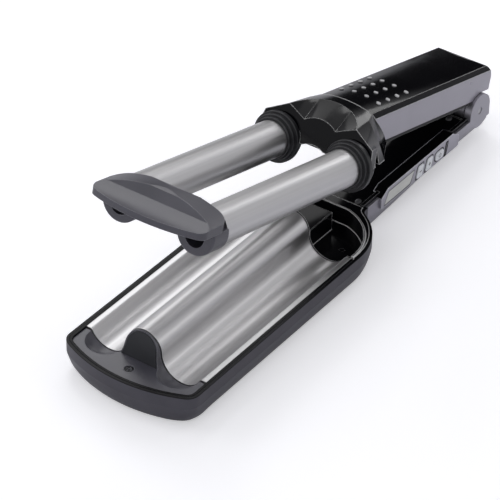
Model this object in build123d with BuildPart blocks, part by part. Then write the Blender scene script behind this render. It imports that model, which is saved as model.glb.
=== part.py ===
# Hair waver: two round barrels on the upper jaw close into a wave-shaped plate on the lower jaw,
# and both arms are joined by a sprung hinge at the rear, like a hair straightener.
# Millimetres, +Z up, resting on the flat underside of the lower jaw.
# The origin is under the middle of the wave plate. +X runs from the tip to the hinge, and the
# display and the buttons face -Y. Pieces of the upper arm are laid out in the shut position and
# then swung open about the hinge pin by `finish_upper`.
from build123d import *
import os
from math import asin, cos, degrees, radians, sin, sqrt, tan

os.makedirs("parts", exist_ok=True)

# ---------------------------------------------------------------- driving dimensions
# Wave plate: two troughs with one ridge between them
plate_length = 123.0
plate_thickness = 1.2
trough_radius = 12.0
ridge_radius = 10.0
wave_over_rim = 4.7  # height of the waves' common centre line over the jaw's rim
lip_corner = 1.6
lip_width = 3.26  # flat lips outside the troughs, which also set the jaw's width

# Lower jaw and lower handle
jaw_depth = 18.0  # rim of the jaw over the table
shell_wall = 1.5
nose_reach = 24.0  # the bowed nose stands this far in front of the plate
nose_radius = 83.0
nose_corner = 7.5
shoulder_start = 4.0  # the straight jaw sides end this far behind the plate
shoulder_radius = 38.0
neck_fillet = 5.0
handle_width = 37.6
handle_corner = 7.0
underside_round = 6.0
heel_behind_plate = 27.0  # the flat underside ends here and the handle's underside rises
grip_behind_plate = 124.0
grip_rise = 7.0
heel_round = 80.0
hull_waist = 5.0  # the sides draw in below the frame, past this height, down to the table
hull_waist_inset = 1.7
hull_waist_corner = 11.0
hull_floor_inset = 7.5
hull_floor_corner = 20.0
hull_margin = 0.15
shell_joint_behind_plate = 42.5  # the jaw's shell and the handle's shell meet here
shell_joint_gap = 0.1
rim_edge_round = 0.5

# Frame, end cap and pad round the plate
frame_band = 1.5
frame_depth = 6.0
ledge_width = 1.5
ledge_thickness = 2.0
shelf_thickness = 1.2
seat_gap = 0.1
cap_gap = 0.6
cap_drop = 0.8  # the cap's deck lies this far below the rim
cap_depth = 9.0
cap_wall = 1.4
bowl_reach = 2.1
bowl_radius = 12.2
hump_front = 5.2
hump_lean = 16.0
pad_thickness = 1.4
pad_margin = 0.9
pad_flare = 1.6
pad_proud = 0.3
cap_screw_ahead = 13.0
screw_radius = 1.5
screw_head_radius = 2.4
screw_head_height = 1.4
cross_width = 0.7
cross_depth = 0.8
screw_sink = 0.4
screw_gap = 0.2
screw_grip = 4.0  # depth of thread in the piece that a screw pulls down
screw_end_gap = 0.4

# Cup behind the plate that takes in the barrels' collars
cup_length = 40.0
cup_front_gap = 0.4
cup_floor_over_table = 9.0
cup_wall = 1.4
deck_over_rim = 1.0
recess_half_width = 36.4
recess_back = (33.0, 12.0)  # behind the plate, and to the side
recess_bulge = (20.0, 31.0)
bead_width = 0.9
bead_height = 0.6
box_half_width = 7.5
box_over_rim = 2.0
box_front = 5.5
box_wall = 1.6
box_rear = 26.0
cup_screw_at = 14.0
cup_screw_y = 22.0

# Lower inner cover
cover_slab = 2.0
cover_lip = 2.0
cover_lip_height = 0.8
cover_front_gap = 0.3
grip_screw_at = 45.5
grip_screw_before_hinge = 17.0

# Hinge
hinge_behind_plate = 153.5
hinge_over_rim = 2.0
open_angle = 14.2
pin_radius = 2.0
pin_running_gap = 0.05
pin_press_gap = 0.02
pin_sink = 0.5
ear_radius = 10.0
ear_width = 4.2
tongue_radius = 9.0
washer_thickness = 0.8
washer_radius = 5.0
hinge_gap = 0.5
tail_behind_hinge = 13.0
spring_slot = 11.0
spring_slot_radius = 6.6
spring_coil_radius = 4.4
spring_wire = 1.2
spring_turns = 5
spring_leg = 6.5
tongue_web_top = 11.0  # over the hinge pin
tongue_web_thickness = 2.5

# Cord outlet at the rear
swivel_over_table = 13.4
swivel_neck_radius = 4.0
swivel_flange_radius = 4.6
swivel_flange_thickness = 1.2
swivel_head_radius = 5.6
swivel_tip_radius = 4.4
swivel_head_length = 9.0
cord_bore_radius = 2.6
swivel_gap = 0.08
swivel_pocket_gap = 0.4

# Control panel on the -Y side of the lower handle
panel_start = 53.5  # behind the plate
panel_length = 76.0
panel_over_rim = 3.6
panel_below_rim = 7.0
panel_corner_round = 1.2
panel_slope = 6.0
panel_proud = 1.4
panel_depth = 3.4
panel_gap = 0.15
lcd_start = 58.0
lcd_length = 25.0
lcd_height = 6.6
lcd_middle = -2.3  # over the rim, as are the other heights on the panel
lcd_lean = 4.0
lcd_window_thickness = 1.2
lcd_module_thickness = 2.0
button_lean = 2.2
button_length = 5.4
button_height = 7.2
button_middle = -2.4
button_round = 1.3
minus_at = 90.2
plus_at = 99.2
power_at = 109.6
power_length = 8.2
power_height = 5.2
power_round = 2.4
button_proud = 0.7
button_gap = 0.25
button_flange = 0.6
button_flange_thickness = 0.8
button_travel = 0.8
button_free_play = 0.1
slot_at = 116.6
slot_width = 1.3
slot_height = 7.6
switch_size = 4.4
switch_body = 1.8
switch_plunger = 0.7
switch_plunger_radius = 1.2
switch_middle = -3.4
switch_gap = 0.1
board_thickness = 1.2
board_edge_inset = 3.0
board_post_radius = 1.6
panel_roof = 1.2
panel_cavity_margin = 0.4

# Barrels, collars and end cups of the upper jaw
barrel_radius = 10.0
barrel_wall = 1.5
barrel_over_rim = 7.5  # height of the barrels' axes over the rim when the jaws are shut
barrel_start = 12.4  # behind the plate's front edge
barrel_seat_gap = 0.1
collar_start = 4.9  # behind the plate's rear edge
collar_radii = (11.4, 12.6, 13.8)
collar_steps = (2.0, 2.3, 2.5)
collar_edge = 0.4
housing_radius = 12.8
housing_upper_radius = 11.4
housing_end_radius = 8.0
housing_length = 11.0
housing_straight = 2.5
barrel_in_housing = 6.0
wire_radius = 2.5
core_length = 100.0
core_gap = 0.2
core_bore = 4.0
core_start = 24.0
cup_radius = 10.8
cup_front_round = 1.2
cup_plug_length = 10.0
vent_radius = 5.5
vent_below_axis = 1.2
vent_depth = 1.5

# Tip bar across the two barrels
bar_ahead = 16.1  # its bowed front stands this far in front of the plate
bar_length = 28.0
bar_half_width = 33.0
bar_front_corner = 5.0
bar_rear_corner = 8.0
bar_bow_radius = 90.0
bar_foot = 3.3  # all heights of the bar are over the barrels' axes
bar_shelf = ((0.0, 6.6), (9.0, 7.4), (14.0, 9.0))  # behind the front edge, and height
bar_crest = ((18.0, 13.5), (21.0, 13.9), (24.5, 13.9), (28.2, 12.6))
bar_crest_height = 13.9
bar_end_crest = 7.7
bar_wall = 1.4
bar_rib = 6.0
tunnel_gap = 0.9

# Head that carries the barrels
head_front = 9.9  # behind the plate's rear edge, at the height of the barrels' axes
head_lean = 0.27
head_mid = 29.9
head_waist = 38.0
head_tail = 56.0
head_lead = 4.0
seam_over_axis = 1.4
head_crown = 22.8
skirt_drop = 4.0
ring_at_seam = 50.8
ring_lean = 0.756
ring_gap = 0.4
arch_radius = 13.0
arch_drop = 10.0
arch_length = 13.0
valley_front = 11.9
valley_front_rim = 25.8
valley_front_ear = (22.0, 17.8)  # to the side, and over the barrels' axes
valley_front_foot = (9.6, 12.3)
valley_front_middle = 15.3
valley_rear = 27.9
valley_rear_rim = 24.0
valley_rear_ear = (22.0, 23.4)
valley_rear_foot = (9.6, 23.2)
valley_rear_middle = 23.3
skirt_taper = 10.0
head_bore_gap = 0.15
head_cavity = (26.0, 20.0, 16.0)
head_cavity_at = 28.0
skirt_start = 23.4
skirt_half_widths = (28.0, 26.5, 20.0, 16.0)

# Upper handle
grip_width = 34.0
grip_wall = 2.0
grip_top = 16.5  # all heights of the upper handle are over the barrels' axes
panel_edge = 17.0
panel_corner = (15.5, 19.6)
grip_crown_front = 22.8
grip_crown_rear = 20.4
top_panel_wall = 1.6
upper_cover_thickness = 2.2
upper_cover_inset = 0.6
upper_tail = 8.0
upper_tail_round = 9.0
tenon_length = 8.0
tenon_heights = (4.0, 13.0)
tenon_half_width = 11.0
tenon_gap = 0.15
stud_pitch_along = 9.2
stud_pitch_across = 7.66
stud_rows = 4
stud_radius = 1.2
stud_height = 0.5
first_stud = 49.5

# Inner pieces
heater_length = 96.0
heater_thickness = 1.2
heater_over_centre = 1.2
carrier_width = 12.0
carrier_length = 70.0
carrier_wall = 1.6
shield_thickness = 0.8
shield_width = 58.0
shield_length = 112.0
shield_over_floor = 3.2
rib_width = 2.0
sensor_radius = 1.5
sensor_length = 9.0
sensor_at = 18.0
fuse_radius = 2.0
fuse_length = 12.0
fuse_at = -22.0
power_board_length = 78.0
power_board_width = 20.0
power_board_over_table = 10.6
power_board_at = 92.0
power_board_y = 5.0
boss_radius = 3.2

# ---------------------------------------------------------------- derived places
plate_front = -plate_length / 2
plate_rear = plate_length / 2
rim_z = jaw_depth
wave_z = rim_z + wave_over_rim
barrel_y = trough_radius + ridge_radius
barrel_z = rim_z + barrel_over_rim
hinge_x = plate_rear + hinge_behind_plate
hinge_z = rim_z + hinge_over_rim
tail_x = hinge_x + tail_behind_hinge
joint_x = plate_rear + shell_joint_behind_plate
frame_inset = shell_wall + seat_gap
frame_inner = frame_inset + frame_band
lip_inner = barrel_y + sqrt(trough_radius**2 - wave_over_rim**2)
lip_outer = lip_inner + lip_width
jaw_half = lip_outer + seat_gap + frame_inner
jaw_width = 2 * jaw_half
handle_half = handle_width / 2
ear_inner = handle_half - ear_width
tongue_half = ear_inner - washer_thickness - 2 * seat_gap
grip_half = grip_width / 2
inner_barrel = barrel_radius - barrel_wall


# ---------------------------------------------------------------- planes and shared outlines
def across(x):
    """A plane across the tool at station x: its axes are Y and Z, and its normal is +X."""
    return Plane(origin=(x, 0, 0), x_dir=(0, 1, 0), z_dir=(1, 0, 0))


def upright(y):
    """A plane along the tool at y: its axes are X and Z, and its normal is -Y."""
    return Plane(origin=(0, y, 0), x_dir=(1, 0, 0), z_dir=(0, -1, 0))


def level(z):
    return Plane.XY.offset(z)


to_pin = Location((hinge_x, 0, hinge_z))
swing = to_pin * Location((0, 0, 0), (0, open_angle, 0)) * to_pin.inverse()


def arm_plan(inset=0.0, corner=nose_corner):
    """Outline of the lower arm from above: bowed nose, jaw, shoulders and handle."""
    nose_turn = degrees(asin(jaw_half / nose_radius))
    nose_middle = plate_front - nose_reach + nose_radius
    nose_end = nose_middle - nose_radius * cos(radians(nose_turn))
    shoulder_x = plate_rear + shoulder_start
    shoulder_turn = degrees(asin(sqrt(1 - (1 - (jaw_half - handle_half) / shoulder_radius) ** 2)))
    neck_x = shoulder_x + shoulder_radius * sin(radians(shoulder_turn))
    with BuildSketch() as plan:
        with BuildLine():
            CenterArc((nose_middle, 0), nose_radius, 180, -nose_turn)
            Line((nose_end, jaw_half), (shoulder_x, jaw_half))
            CenterArc((shoulder_x, jaw_half - shoulder_radius), shoulder_radius, 90, -shoulder_turn)
            Polyline((neck_x, handle_half), (tail_x, handle_half), (tail_x, 0))
            Line((tail_x, 0), (plate_front - nose_reach, 0))
        make_face()
        mirror(about=Plane.XZ)
        corners = plan.vertices()
        fillet(corners.filter_by(lambda v: abs(v.X - nose_end) < 0.01 and abs(v.Y) > 1), corner)
        fillet(plan.vertices().filter_by(lambda v: abs(v.X - neck_x) < 0.01), neck_fillet)
        fillet(plan.vertices().filter_by(lambda v: abs(v.X - tail_x) < 0.01 and abs(v.Y) > 1), handle_corner)
        if inset:
            offset(amount=-inset, kind=Kind.INTERSECTION)
    return plan.sketch


def hull_form(inset=0.0):
    """Tool that draws the lower arm's sides in towards the table, below the frame."""
    top = rim_z - frame_depth
    levels = (
        (top, 0.0, nose_corner),
        (hull_waist, hull_waist_inset, hull_waist_corner),
        (0.0, hull_floor_inset, hull_floor_corner),
    )
    with BuildPart() as form:
        for z, draw_in, corner in levels:
            with BuildSketch(level(z + inset * (1 - z / top))):
                add(arm_plan(inset + draw_in - hull_margin, corner))
        loft()
        with BuildSketch(level(top)):
            add(arm_plan(inset - hull_margin))
        extrude(amount=jaw_depth)
    return form.part


def arm_form(inset=0.0):
    """The closed form of the lower arm up to the rim, or the same form moved in by inset."""
    heel_x = plate_rear + heel_behind_plate
    grip_x = plate_rear + grip_behind_plate
    low = -jaw_depth
    with BuildPart() as form:
        with BuildSketch():
            add(arm_plan(inset))
        extrude(amount=rim_z)
        with BuildSketch(upright(0)):
            with BuildLine():
                Polyline(
                    (2 * plate_front, inset),
                    (heel_x, inset),
                    (grip_x, grip_rise + inset),
                    (2 * tail_x, grip_rise + inset),
                    (2 * tail_x, low),
                    (2 * plate_front, low),
                    close=True,
                )
            make_face()
            fillet(vertices().filter_by(lambda v: v.X in (heel_x, grip_x) and v.Y > low), heel_round)
        extrude(amount=jaw_width, both=True, mode=Mode.SUBTRACT)
        under = form.faces().filter_by(lambda f: f.normal_at().Z < -0.9).edges()
        seams = under.filter_by(GeomType.LINE).filter_by(Axis.Y).filter_by(lambda e: e.center().X < hinge_x)
        fillet(under - seams, underside_round - inset)
        add(hull_form(inset), mode=Mode.INTERSECT)
    return form.part


def wave_edge(drop):
    """Half of the wave's section from the ridge to the lip, moved down by drop, as three pieces."""
    trough = trough_radius + drop
    lip_turn = degrees(asin((wave_over_rim + drop) / trough))
    ridge_line = CenterArc((0, wave_z), ridge_radius - drop, 0, 90)
    trough_line = CenterArc((barrel_y, wave_z), trough, 180, 180 - lip_turn)
    lip_line = Line(trough_line @ 1, (lip_outer, rim_z - drop))
    return ridge_line, trough_line, lip_line


def hump_form(gap, front):
    """The hump in front of the plate's ridge, with its face leaning back, grown by gap."""
    radius = hump_radius + gap
    deck = rim_z - cap_drop
    height = wave_z + 2 * radius - deck
    foot_x = plate_front - hump_front - gap
    with BuildPart() as form:
        with BuildSketch(across(front)):
            with Locations((0, wave_z)):
                Circle(radius)
            with Locations((0, deck)):
                Rectangle(2 * (radius + bowl_reach), wave_over_rim + cap_drop, align=(Align.CENTER, Align.MIN))
        extrude(amount=-(front - foot_x))
        with BuildSketch(upright(0)):
            with BuildLine():
                Polyline(
                    (foot_x - gap, deck),
                    (foot_x - gap + height * tan(radians(hump_lean)), deck + height),
                    (foot_x - height, deck + height),
                    (foot_x - height, deck - height),
                    (foot_x - gap, deck - height),
                    close=True,
                )
            make_face()
        extrude(amount=jaw_width, both=True, mode=Mode.SUBTRACT)
    return form.part


def pad_form(gap):
    """The half-round pad let into the hump's leaning face, grown by gap."""
    radius = hump_radius - pad_margin + gap
    deck = rim_z - cap_drop
    foot_x = plate_front - hump_front
    height = wave_z + radius - deck
    lean = height * tan(radians(hump_lean))
    with BuildPart() as form:
        with BuildSketch(across(plate_front)):
            with Locations((0, wave_z)):
                Circle(radius)
            with BuildLine():
                Polyline(
                    (-radius - pad_flare, deck),
                    (-radius, wave_z),
                    (radius, wave_z),
                    (radius + pad_flare, deck),
                    close=True,
                )
            make_face()
        extrude(amount=-nose_reach)
        with BuildSketch(upright(0)):
            with BuildLine():
                Polyline(
                    (foot_x - pad_proud, deck),
                    (foot_x - pad_proud + lean, deck + height),
                    (foot_x - pad_proud + pad_thickness + gap + lean, deck + height),
                    (foot_x - pad_proud + pad_thickness + gap, deck),
                    close=True,
                )
            make_face()
        extrude(amount=jaw_width, both=True, mode=Mode.INTERSECT)
    return form.part


def panel_outline(gap=0.0):
    """Outline of the control panel seen from the side, in X and Z."""
    start = plate_rear + panel_start - gap
    end = start + panel_length + 2 * gap
    top = rim_z + panel_over_rim + gap
    bottom = rim_z - panel_below_rim - gap
    with BuildSketch() as outline:
        with BuildLine():
            Polyline(
                (start, bottom),
                (start, rim_z),
                (start + panel_slope, top),
                (end - panel_slope, top),
                (end, rim_z),
                (end, bottom),
                close=True,
            )
        make_face()
        fillet(outline.vertices(), panel_corner_round)
    return outline.sketch


def slanted(length, height, lean, corner):
    """A rounded parallelogram that leans towards +X."""
    with BuildSketch() as shape:
        with BuildLine():
            Polyline(
                (-length / 2 - lean / 2, -height / 2),
                (length / 2 - lean / 2, -height / 2),
                (length / 2 + lean / 2, height / 2),
                (-length / 2 + lean / 2, height / 2),
                close=True,
            )
        make_face()
        fillet(shape.vertices(), corner)
    return shape.sketch


def post(x, y, bottom, top, radius):
    """A plain round post between two heights."""
    with BuildPart() as form:
        with BuildSketch(level(bottom)):
            with Locations((x, y)):
                Circle(radius)
        extrude(amount=top - bottom)
    return form.part


def floor_z(x):
    """Height of the lower shell's underside at station x."""
    heel_x = plate_rear + heel_behind_plate
    grip_x = plate_rear + grip_behind_plate
    share = min(max((x - heel_x) / (grip_x - heel_x), 0), 1)
    return grip_rise * share


def finish(part, name):
    part.label = name
    export_step(part, f"parts/{name}.step")


def finish_upper(part, name):
    """Swings a piece of the upper arm open before it is written."""
    finish(part.moved(swing), name)


# ---------------------------------------------------------------- places shared by several pieces
hump_radius = barrel_y - bowl_radius
cap_deck = rim_z - cap_drop
cap_foot = rim_z - cap_depth
cap_rear = plate_front - cap_gap
cap_screw_x = plate_front - cap_screw_ahead
cup_front = plate_rear + cup_front_gap
cup_end = plate_rear + cup_length
cup_underside = cup_floor_over_table - cup_wall
cover_start = cup_end + cover_front_gap
cover_end = hinge_x - ear_radius - hinge_gap
cover_top = rim_z + deck_over_rim
cover_underside = cover_top - cover_slab
face_y = -(handle_half + panel_proud)
panel_back_y = face_y + panel_depth
flange_y = panel_back_y + button_free_play
plunger_y = flange_y + button_flange_thickness + button_travel + switch_gap
cavity_y = plunger_y + panel_cavity_margin
board_y = plunger_y + switch_plunger + switch_body
shield_z = shell_wall + shield_over_floor
shield_top = shield_z + shield_thickness
rib_stations = (-plate_length / 3, plate_length / 3)
power_board_x = plate_rear + power_board_at
control_board_y = board_y + board_thickness / 2
control_board_foot = rim_z - panel_below_rim
control_board_posts = [plate_rear + panel_start + inset for inset in (panel_slope, panel_length - panel_slope)]
board_post_stations = [power_board_x + end * (power_board_length / 2 - 3 * board_post_radius) for end in (-1, 1)]
# screws from below: station, side, and the height where the post meets the piece it holds
cup_screws = [(plate_rear + cup_screw_at, side * cup_screw_y) for side in (-1, 1)]
grip_screws = [(plate_rear + grip_screw_at, 0), (hinge_x - grip_screw_before_hinge, 0)]
cup_split = cup_underside - screw_grip / 2
grip_split = cover_underside - screw_grip
seam_z = barrel_z + seam_over_axis
collar_end = plate_rear + collar_start + sum(collar_steps)
housing_end = collar_end + housing_length
barrel_end = collar_end + barrel_in_housing


# ---------------------------------------------------------------- lower arm: shells and frame
with BuildPart() as lower_body:
    add(arm_form())
    add(arm_form(shell_wall), mode=Mode.SUBTRACT)
    # shelf under the frame
    with BuildSketch(level(rim_z - frame_depth - shelf_thickness)):
        add(arm_plan(shell_wall / 2))
        add(arm_plan(frame_inner), mode=Mode.SUBTRACT)
        with Locations((plate_rear, 0)):
            Rectangle(plate_length, 2 * jaw_width, align=(Align.MIN, Align.CENTER), mode=Mode.SUBTRACT)
    extrude(amount=shelf_thickness)
    # cheeks that carry the hinge pin
    with BuildSketch(upright(-ear_inner)):
        with Locations((hinge_x, hinge_z)):
            Circle(ear_radius)
            Rectangle(2 * ear_radius, hinge_z - grip_rise - underside_round, align=(Align.CENTER, Align.MAX))
    extrude(amount=ear_width)
    with BuildSketch(upright(ear_inner)):
        with Locations((hinge_x, hinge_z)):
            Circle(ear_radius)
            Rectangle(2 * ear_radius, hinge_z - grip_rise - underside_round, align=(Align.CENTER, Align.MAX))
    extrude(amount=-ear_width)
    # posts under the cap, the cup, the cover and the boards
    add(post(cap_screw_x, 0, shell_wall / 2, cap_foot, boss_radius))
    for x, y in cup_screws:
        add(post(x, y, shell_wall / 2, cup_split, boss_radius))
    for x, y in grip_screws:
        add(post(x, y, floor_z(x) + shell_wall / 2, grip_split, boss_radius))
    for x in board_post_stations:
        for side in (-1, 1):
            y = power_board_y + side * (power_board_width / 2 - board_post_radius)
            add(post(x, y, floor_z(x) + shell_wall / 2, power_board_over_table, board_post_radius))
    for x in control_board_posts:
        add(post(x, control_board_y, floor_z(x) + shell_wall / 2, control_board_foot, board_post_radius))
    # openings for the control panel, the hinge pin, the cord outlet and the screws
    with BuildSketch(upright(-handle_half + 2 * shell_wall)):
        add(panel_outline(panel_gap))
    extrude(amount=3 * shell_wall, mode=Mode.SUBTRACT)
    with Locations((hinge_x, 0, hinge_z)):
        Cylinder(pin_radius + pin_press_gap, 2 * handle_width, rotation=(90, 0, 0), mode=Mode.SUBTRACT)
    with Locations((tail_x, 0, swivel_over_table)):
        Cylinder(swivel_neck_radius + swivel_gap, 4 * shell_wall, rotation=(0, 90, 0), mode=Mode.SUBTRACT)
    with Locations((tail_x - shell_wall, 0, swivel_over_table)):
        Cylinder(
            swivel_flange_radius + swivel_pocket_gap,
            shell_wall * 2,
            rotation=(0, -90, 0),
            align=(Align.CENTER, Align.CENTER, Align.MIN),
            mode=Mode.SUBTRACT,
        )
    for x, y in cup_screws + grip_screws:
        head_seat = floor_z(x) + screw_sink + screw_head_height
        add(post(x, y, -shell_wall, head_seat, screw_head_radius + seat_gap), mode=Mode.SUBTRACT)
        add(post(x, y, -shell_wall, rim_z, screw_radius + screw_gap), mode=Mode.SUBTRACT)
    add(post(cap_screw_x, 0, 2 * shell_wall, rim_z, screw_radius), mode=Mode.SUBTRACT)

for name, start, keep in (
    ("lower_shell", joint_x - shell_joint_gap / 2, Align.MAX),
    ("handle_shell", joint_x + shell_joint_gap / 2, Align.MIN),
):
    with BuildPart() as shell_half:
        add(lower_body.part)
        with Locations((start, 0, 0)):
            Box(
                2 * tail_x,
                2 * jaw_width,
                4 * jaw_depth,
                align=(keep, Align.CENTER, Align.CENTER),
                mode=Mode.INTERSECT,
            )
    finish(shell_half.part, name)

with BuildPart() as rim_frame:
    with BuildSketch(level(rim_z - frame_depth)):
        add(arm_plan(frame_inset))
        add(arm_plan(frame_inner), mode=Mode.SUBTRACT)
        with Locations((plate_rear, 0)):
            Rectangle(2 * plate_length, 2 * jaw_width, align=(Align.MIN, Align.CENTER), mode=Mode.SUBTRACT)
    extrude(amount=frame_depth)
    # ledge under the plate's lips
    with BuildSketch(level(rim_z - plate_thickness - ledge_thickness)):
        add(arm_plan(frame_inner - frame_band / 2))
        add(arm_plan(frame_inner + ledge_width), mode=Mode.SUBTRACT)
        Rectangle(plate_length, 2 * jaw_width, mode=Mode.INTERSECT)
    extrude(amount=ledge_thickness)
finish(rim_frame.part, "rim_frame")

with BuildPart() as wave_plate:
    with BuildSketch(across(plate_front)) as wave:
        with BuildLine():
            wave_edge(0)
            wave_edge(plate_thickness)
            Line((0, wave_z + ridge_radius), (0, wave_z + ridge_radius - plate_thickness))
            Line((lip_outer, rim_z), (lip_outer, rim_z - plate_thickness))
        make_face()
        mirror(about=Plane.YZ)
    extrude(amount=plate_length)
    lips = wave_plate.edges().filter_by(lambda e: abs(abs(e.center().Y) - lip_inner) < 0.01 and e.length > lip_inner)
    fillet(lips.filter_by(lambda e: abs(e.center().Z - rim_z) < 0.01), lip_corner)
finish(wave_plate.part, "wave_plate")


# ---------------------------------------------------------------- lower arm: front end cap
def bowls(extra):
    """The round-ended troughs that carry on from the plate into the cap."""
    centre_x = plate_front - bowl_reach
    radius = bowl_radius + extra
    with BuildPart() as form:
        for side in (-1, 1):
            with BuildSketch(upright(side * barrel_y)):
                with BuildLine():
                    CenterArc((centre_x, wave_z), radius, 90, 90)
                    Polyline((centre_x - radius, wave_z), (plate_front + bowl_reach, wave_z))
                    Polyline(
                        (plate_front + bowl_reach, wave_z),
                        (plate_front + bowl_reach, wave_z + radius),
                        (centre_x, wave_z + radius),
                    )
                make_face()
            revolve(axis=Axis((0, side * barrel_y, wave_z), (1, 0, 0)))
    return form.part


def cap_plan(inset):
    """Outline of the cap inside the frame."""
    with BuildSketch() as plan:
        add(arm_plan(frame_inner + seat_gap + inset))
        with Locations((cap_rear - inset, 0)):
            Rectangle(2 * hinge_x, 2 * jaw_width, align=(Align.MIN, Align.CENTER), mode=Mode.SUBTRACT)
    return plan.sketch


with BuildPart() as cap_hollow:
    with BuildSketch(level(cap_foot)):
        add(cap_plan(cap_wall))
    extrude(amount=cap_depth - cap_drop - cap_wall)
    add(bowls(cap_wall), mode=Mode.SUBTRACT)
    add(post(cap_screw_x, 0, cap_foot, rim_z, boss_radius), mode=Mode.SUBTRACT)

with BuildPart() as front_end_cap:
    with BuildSketch(level(cap_foot)):
        add(cap_plan(0))
    extrude(amount=cap_deck - cap_foot)
    add(hump_form(0, cap_rear))
    add(bowls(0), mode=Mode.SUBTRACT)
    add(cap_hollow.part, mode=Mode.SUBTRACT)
    add(pad_form(seat_gap), mode=Mode.SUBTRACT)
    cap_screw_seat = cap_deck - screw_sink - screw_head_height
    add(post(cap_screw_x, 0, cap_screw_seat, rim_z, screw_head_radius + seat_gap), mode=Mode.SUBTRACT)
    add(post(cap_screw_x, 0, 0, rim_z, screw_radius + screw_gap), mode=Mode.SUBTRACT)
finish(front_end_cap.part, "front_end_cap")

with BuildPart() as dome_pad:
    add(pad_form(0))
finish(dome_pad.part, "dome_pad")


def screw(x, y, seat, tip):
    """A cross-head screw whose head sits at height seat and whose point is at height tip."""
    up = 1 if seat > tip else -1
    head_end = seat + up * screw_head_height
    with BuildPart() as form:
        add(post(x, y, min(seat, tip), max(seat, tip), screw_radius))
        add(post(x, y, min(seat, head_end), max(seat, head_end), screw_head_radius))
        with Locations((x, y, head_end)):
            Box(2 * screw_radius, cross_width, 2 * cross_depth, mode=Mode.SUBTRACT)
            Box(cross_width, 2 * screw_radius, 2 * cross_depth, mode=Mode.SUBTRACT)
    return form.part


finish(screw(cap_screw_x, 0, cap_screw_seat, 2 * shell_wall + screw_end_gap), "end_cap_screw")


# ---------------------------------------------------------------- lower arm: rear cup and inner cover
def recess_plan(extra):
    """Outline of the recess that takes in the collars when the jaws are shut."""
    back_x = plate_rear + recess_back[0] + extra
    with BuildSketch() as plan:
        with BuildLine():
            Line((cup_front, 0), (cup_front, recess_half_width + extra))
            ThreePointArc(
                (cup_front, recess_half_width + extra),
                (plate_rear + recess_bulge[0] + extra / 2, recess_bulge[1] + extra),
                (back_x, recess_back[1] + extra / 2),
            )
            Line((back_x, recess_back[1] + extra / 2), (back_x, 0))
            Line((back_x, 0), (cup_front, 0))
        make_face()
        mirror(about=Plane.XZ)
    return plan.sketch


def cup_box(inset):
    """Outline of the box between the two bowls."""
    with BuildSketch() as plan:
        with Locations((plate_rear + box_front + inset, 0)):
            Rectangle(
                box_rear - box_front - 2 * inset,
                2 * (box_half_width - inset),
                align=(Align.MIN, Align.CENTER),
            )
    return plan.sketch


with BuildPart() as rear_cup:
    # deck between the shell's walls
    with BuildSketch(level(cover_underside)):
        add(arm_plan(frame_inset))
        with Locations((cup_front, 0)):
            Rectangle(cup_end - cup_front, jaw_width, align=(Align.MIN, Align.CENTER), mode=Mode.INTERSECT)
    extrude(amount=cover_slab)
    with BuildSketch(level(cup_underside)):
        add(recess_plan(cup_wall))
        add(arm_plan(frame_inset), mode=Mode.INTERSECT)
    extrude(amount=cover_top - cup_underside)
    add(hull_form(frame_inset), mode=Mode.INTERSECT)
    # double bead round the recess
    with BuildSketch(level(cover_top)):
        add(recess_plan(bead_width))
        add(arm_plan(frame_inset), mode=Mode.INTERSECT)
    extrude(amount=bead_height)
    with BuildSketch(level(cup_floor_over_table)):
        add(recess_plan(0))
    extrude(amount=jaw_depth, mode=Mode.SUBTRACT)
    # wall against the plate's end, with the plate's own wave
    with BuildSketch(across(cup_front)):
        with BuildLine():
            wave_edge(cup_front_gap)
            Polyline(
                (lip_outer, rim_z - cup_front_gap),
                (lip_outer, cup_underside),
                (0, cup_underside),
                (0, wave_z + ridge_radius - cup_front_gap),
            )
        make_face()
        mirror(about=Plane.YZ)
    extrude(amount=cup_wall)
    with BuildSketch(level(cup_underside)):
        add(cup_box(0))
    extrude(amount=rim_z + box_over_rim - cup_underside)
    box_edges = rear_cup.edges().filter_by(lambda e: abs(e.center().Z - rim_z - box_over_rim) < 0.01)
    fillet(box_edges.filter_by(lambda e: abs(e.center().Y) < box_half_width + 0.01), rim_edge_round)
    with BuildSketch(level(cup_underside)):
        add(cup_box(box_wall))
    extrude(amount=rim_z + box_over_rim - cup_underside - box_wall, mode=Mode.SUBTRACT)
    for x, y in cup_screws:
        add(post(x, y, cup_split, cup_underside, boss_radius))
        add(post(x, y, cup_split, cup_split + screw_grip - 3 * screw_end_gap, screw_radius), mode=Mode.SUBTRACT)
finish(rear_cup.part, "rear_cup")

with BuildPart() as lower_inner_cover:
    with BuildSketch(level(cover_underside)):
        add(arm_plan(frame_inset))
        with Locations((cover_start, 0)):
            Rectangle(cover_end - cover_start, jaw_width, align=(Align.MIN, Align.CENTER), mode=Mode.INTERSECT)
    extrude(amount=cover_slab + cover_lip_height)
    with BuildSketch(level(cover_top)):
        add(arm_plan(frame_inset + cover_lip))
        with Locations((cover_start, 0)):
            Rectangle(
                cover_end - cover_start - cover_lip,
                jaw_width,
                align=(Align.MIN, Align.CENTER),
                mode=Mode.INTERSECT,
            )
    extrude(amount=cover_lip_height, mode=Mode.SUBTRACT)
    # notch for the control panel and its buttons
    with BuildSketch(upright(cavity_y)):
        add(panel_outline(panel_gap))
    extrude(amount=handle_half, mode=Mode.SUBTRACT)
    with BuildSketch(upright(cavity_y + panel_roof)):
        add(panel_outline(panel_gap))
        with Locations((hinge_x, cover_top)):
            Rectangle(2 * plate_length, panel_over_rim * 2, align=(Align.CENTER, Align.MIN), mode=Mode.INTERSECT)
    extrude(amount=handle_half, mode=Mode.SUBTRACT)
    for x, y in grip_screws:
        add(post(x, y, grip_split, cover_underside, boss_radius))
        add(post(x, y, grip_split, cover_underside - screw_end_gap, screw_radius), mode=Mode.SUBTRACT)
finish(lower_inner_cover.part, "lower_inner_cover")


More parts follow.
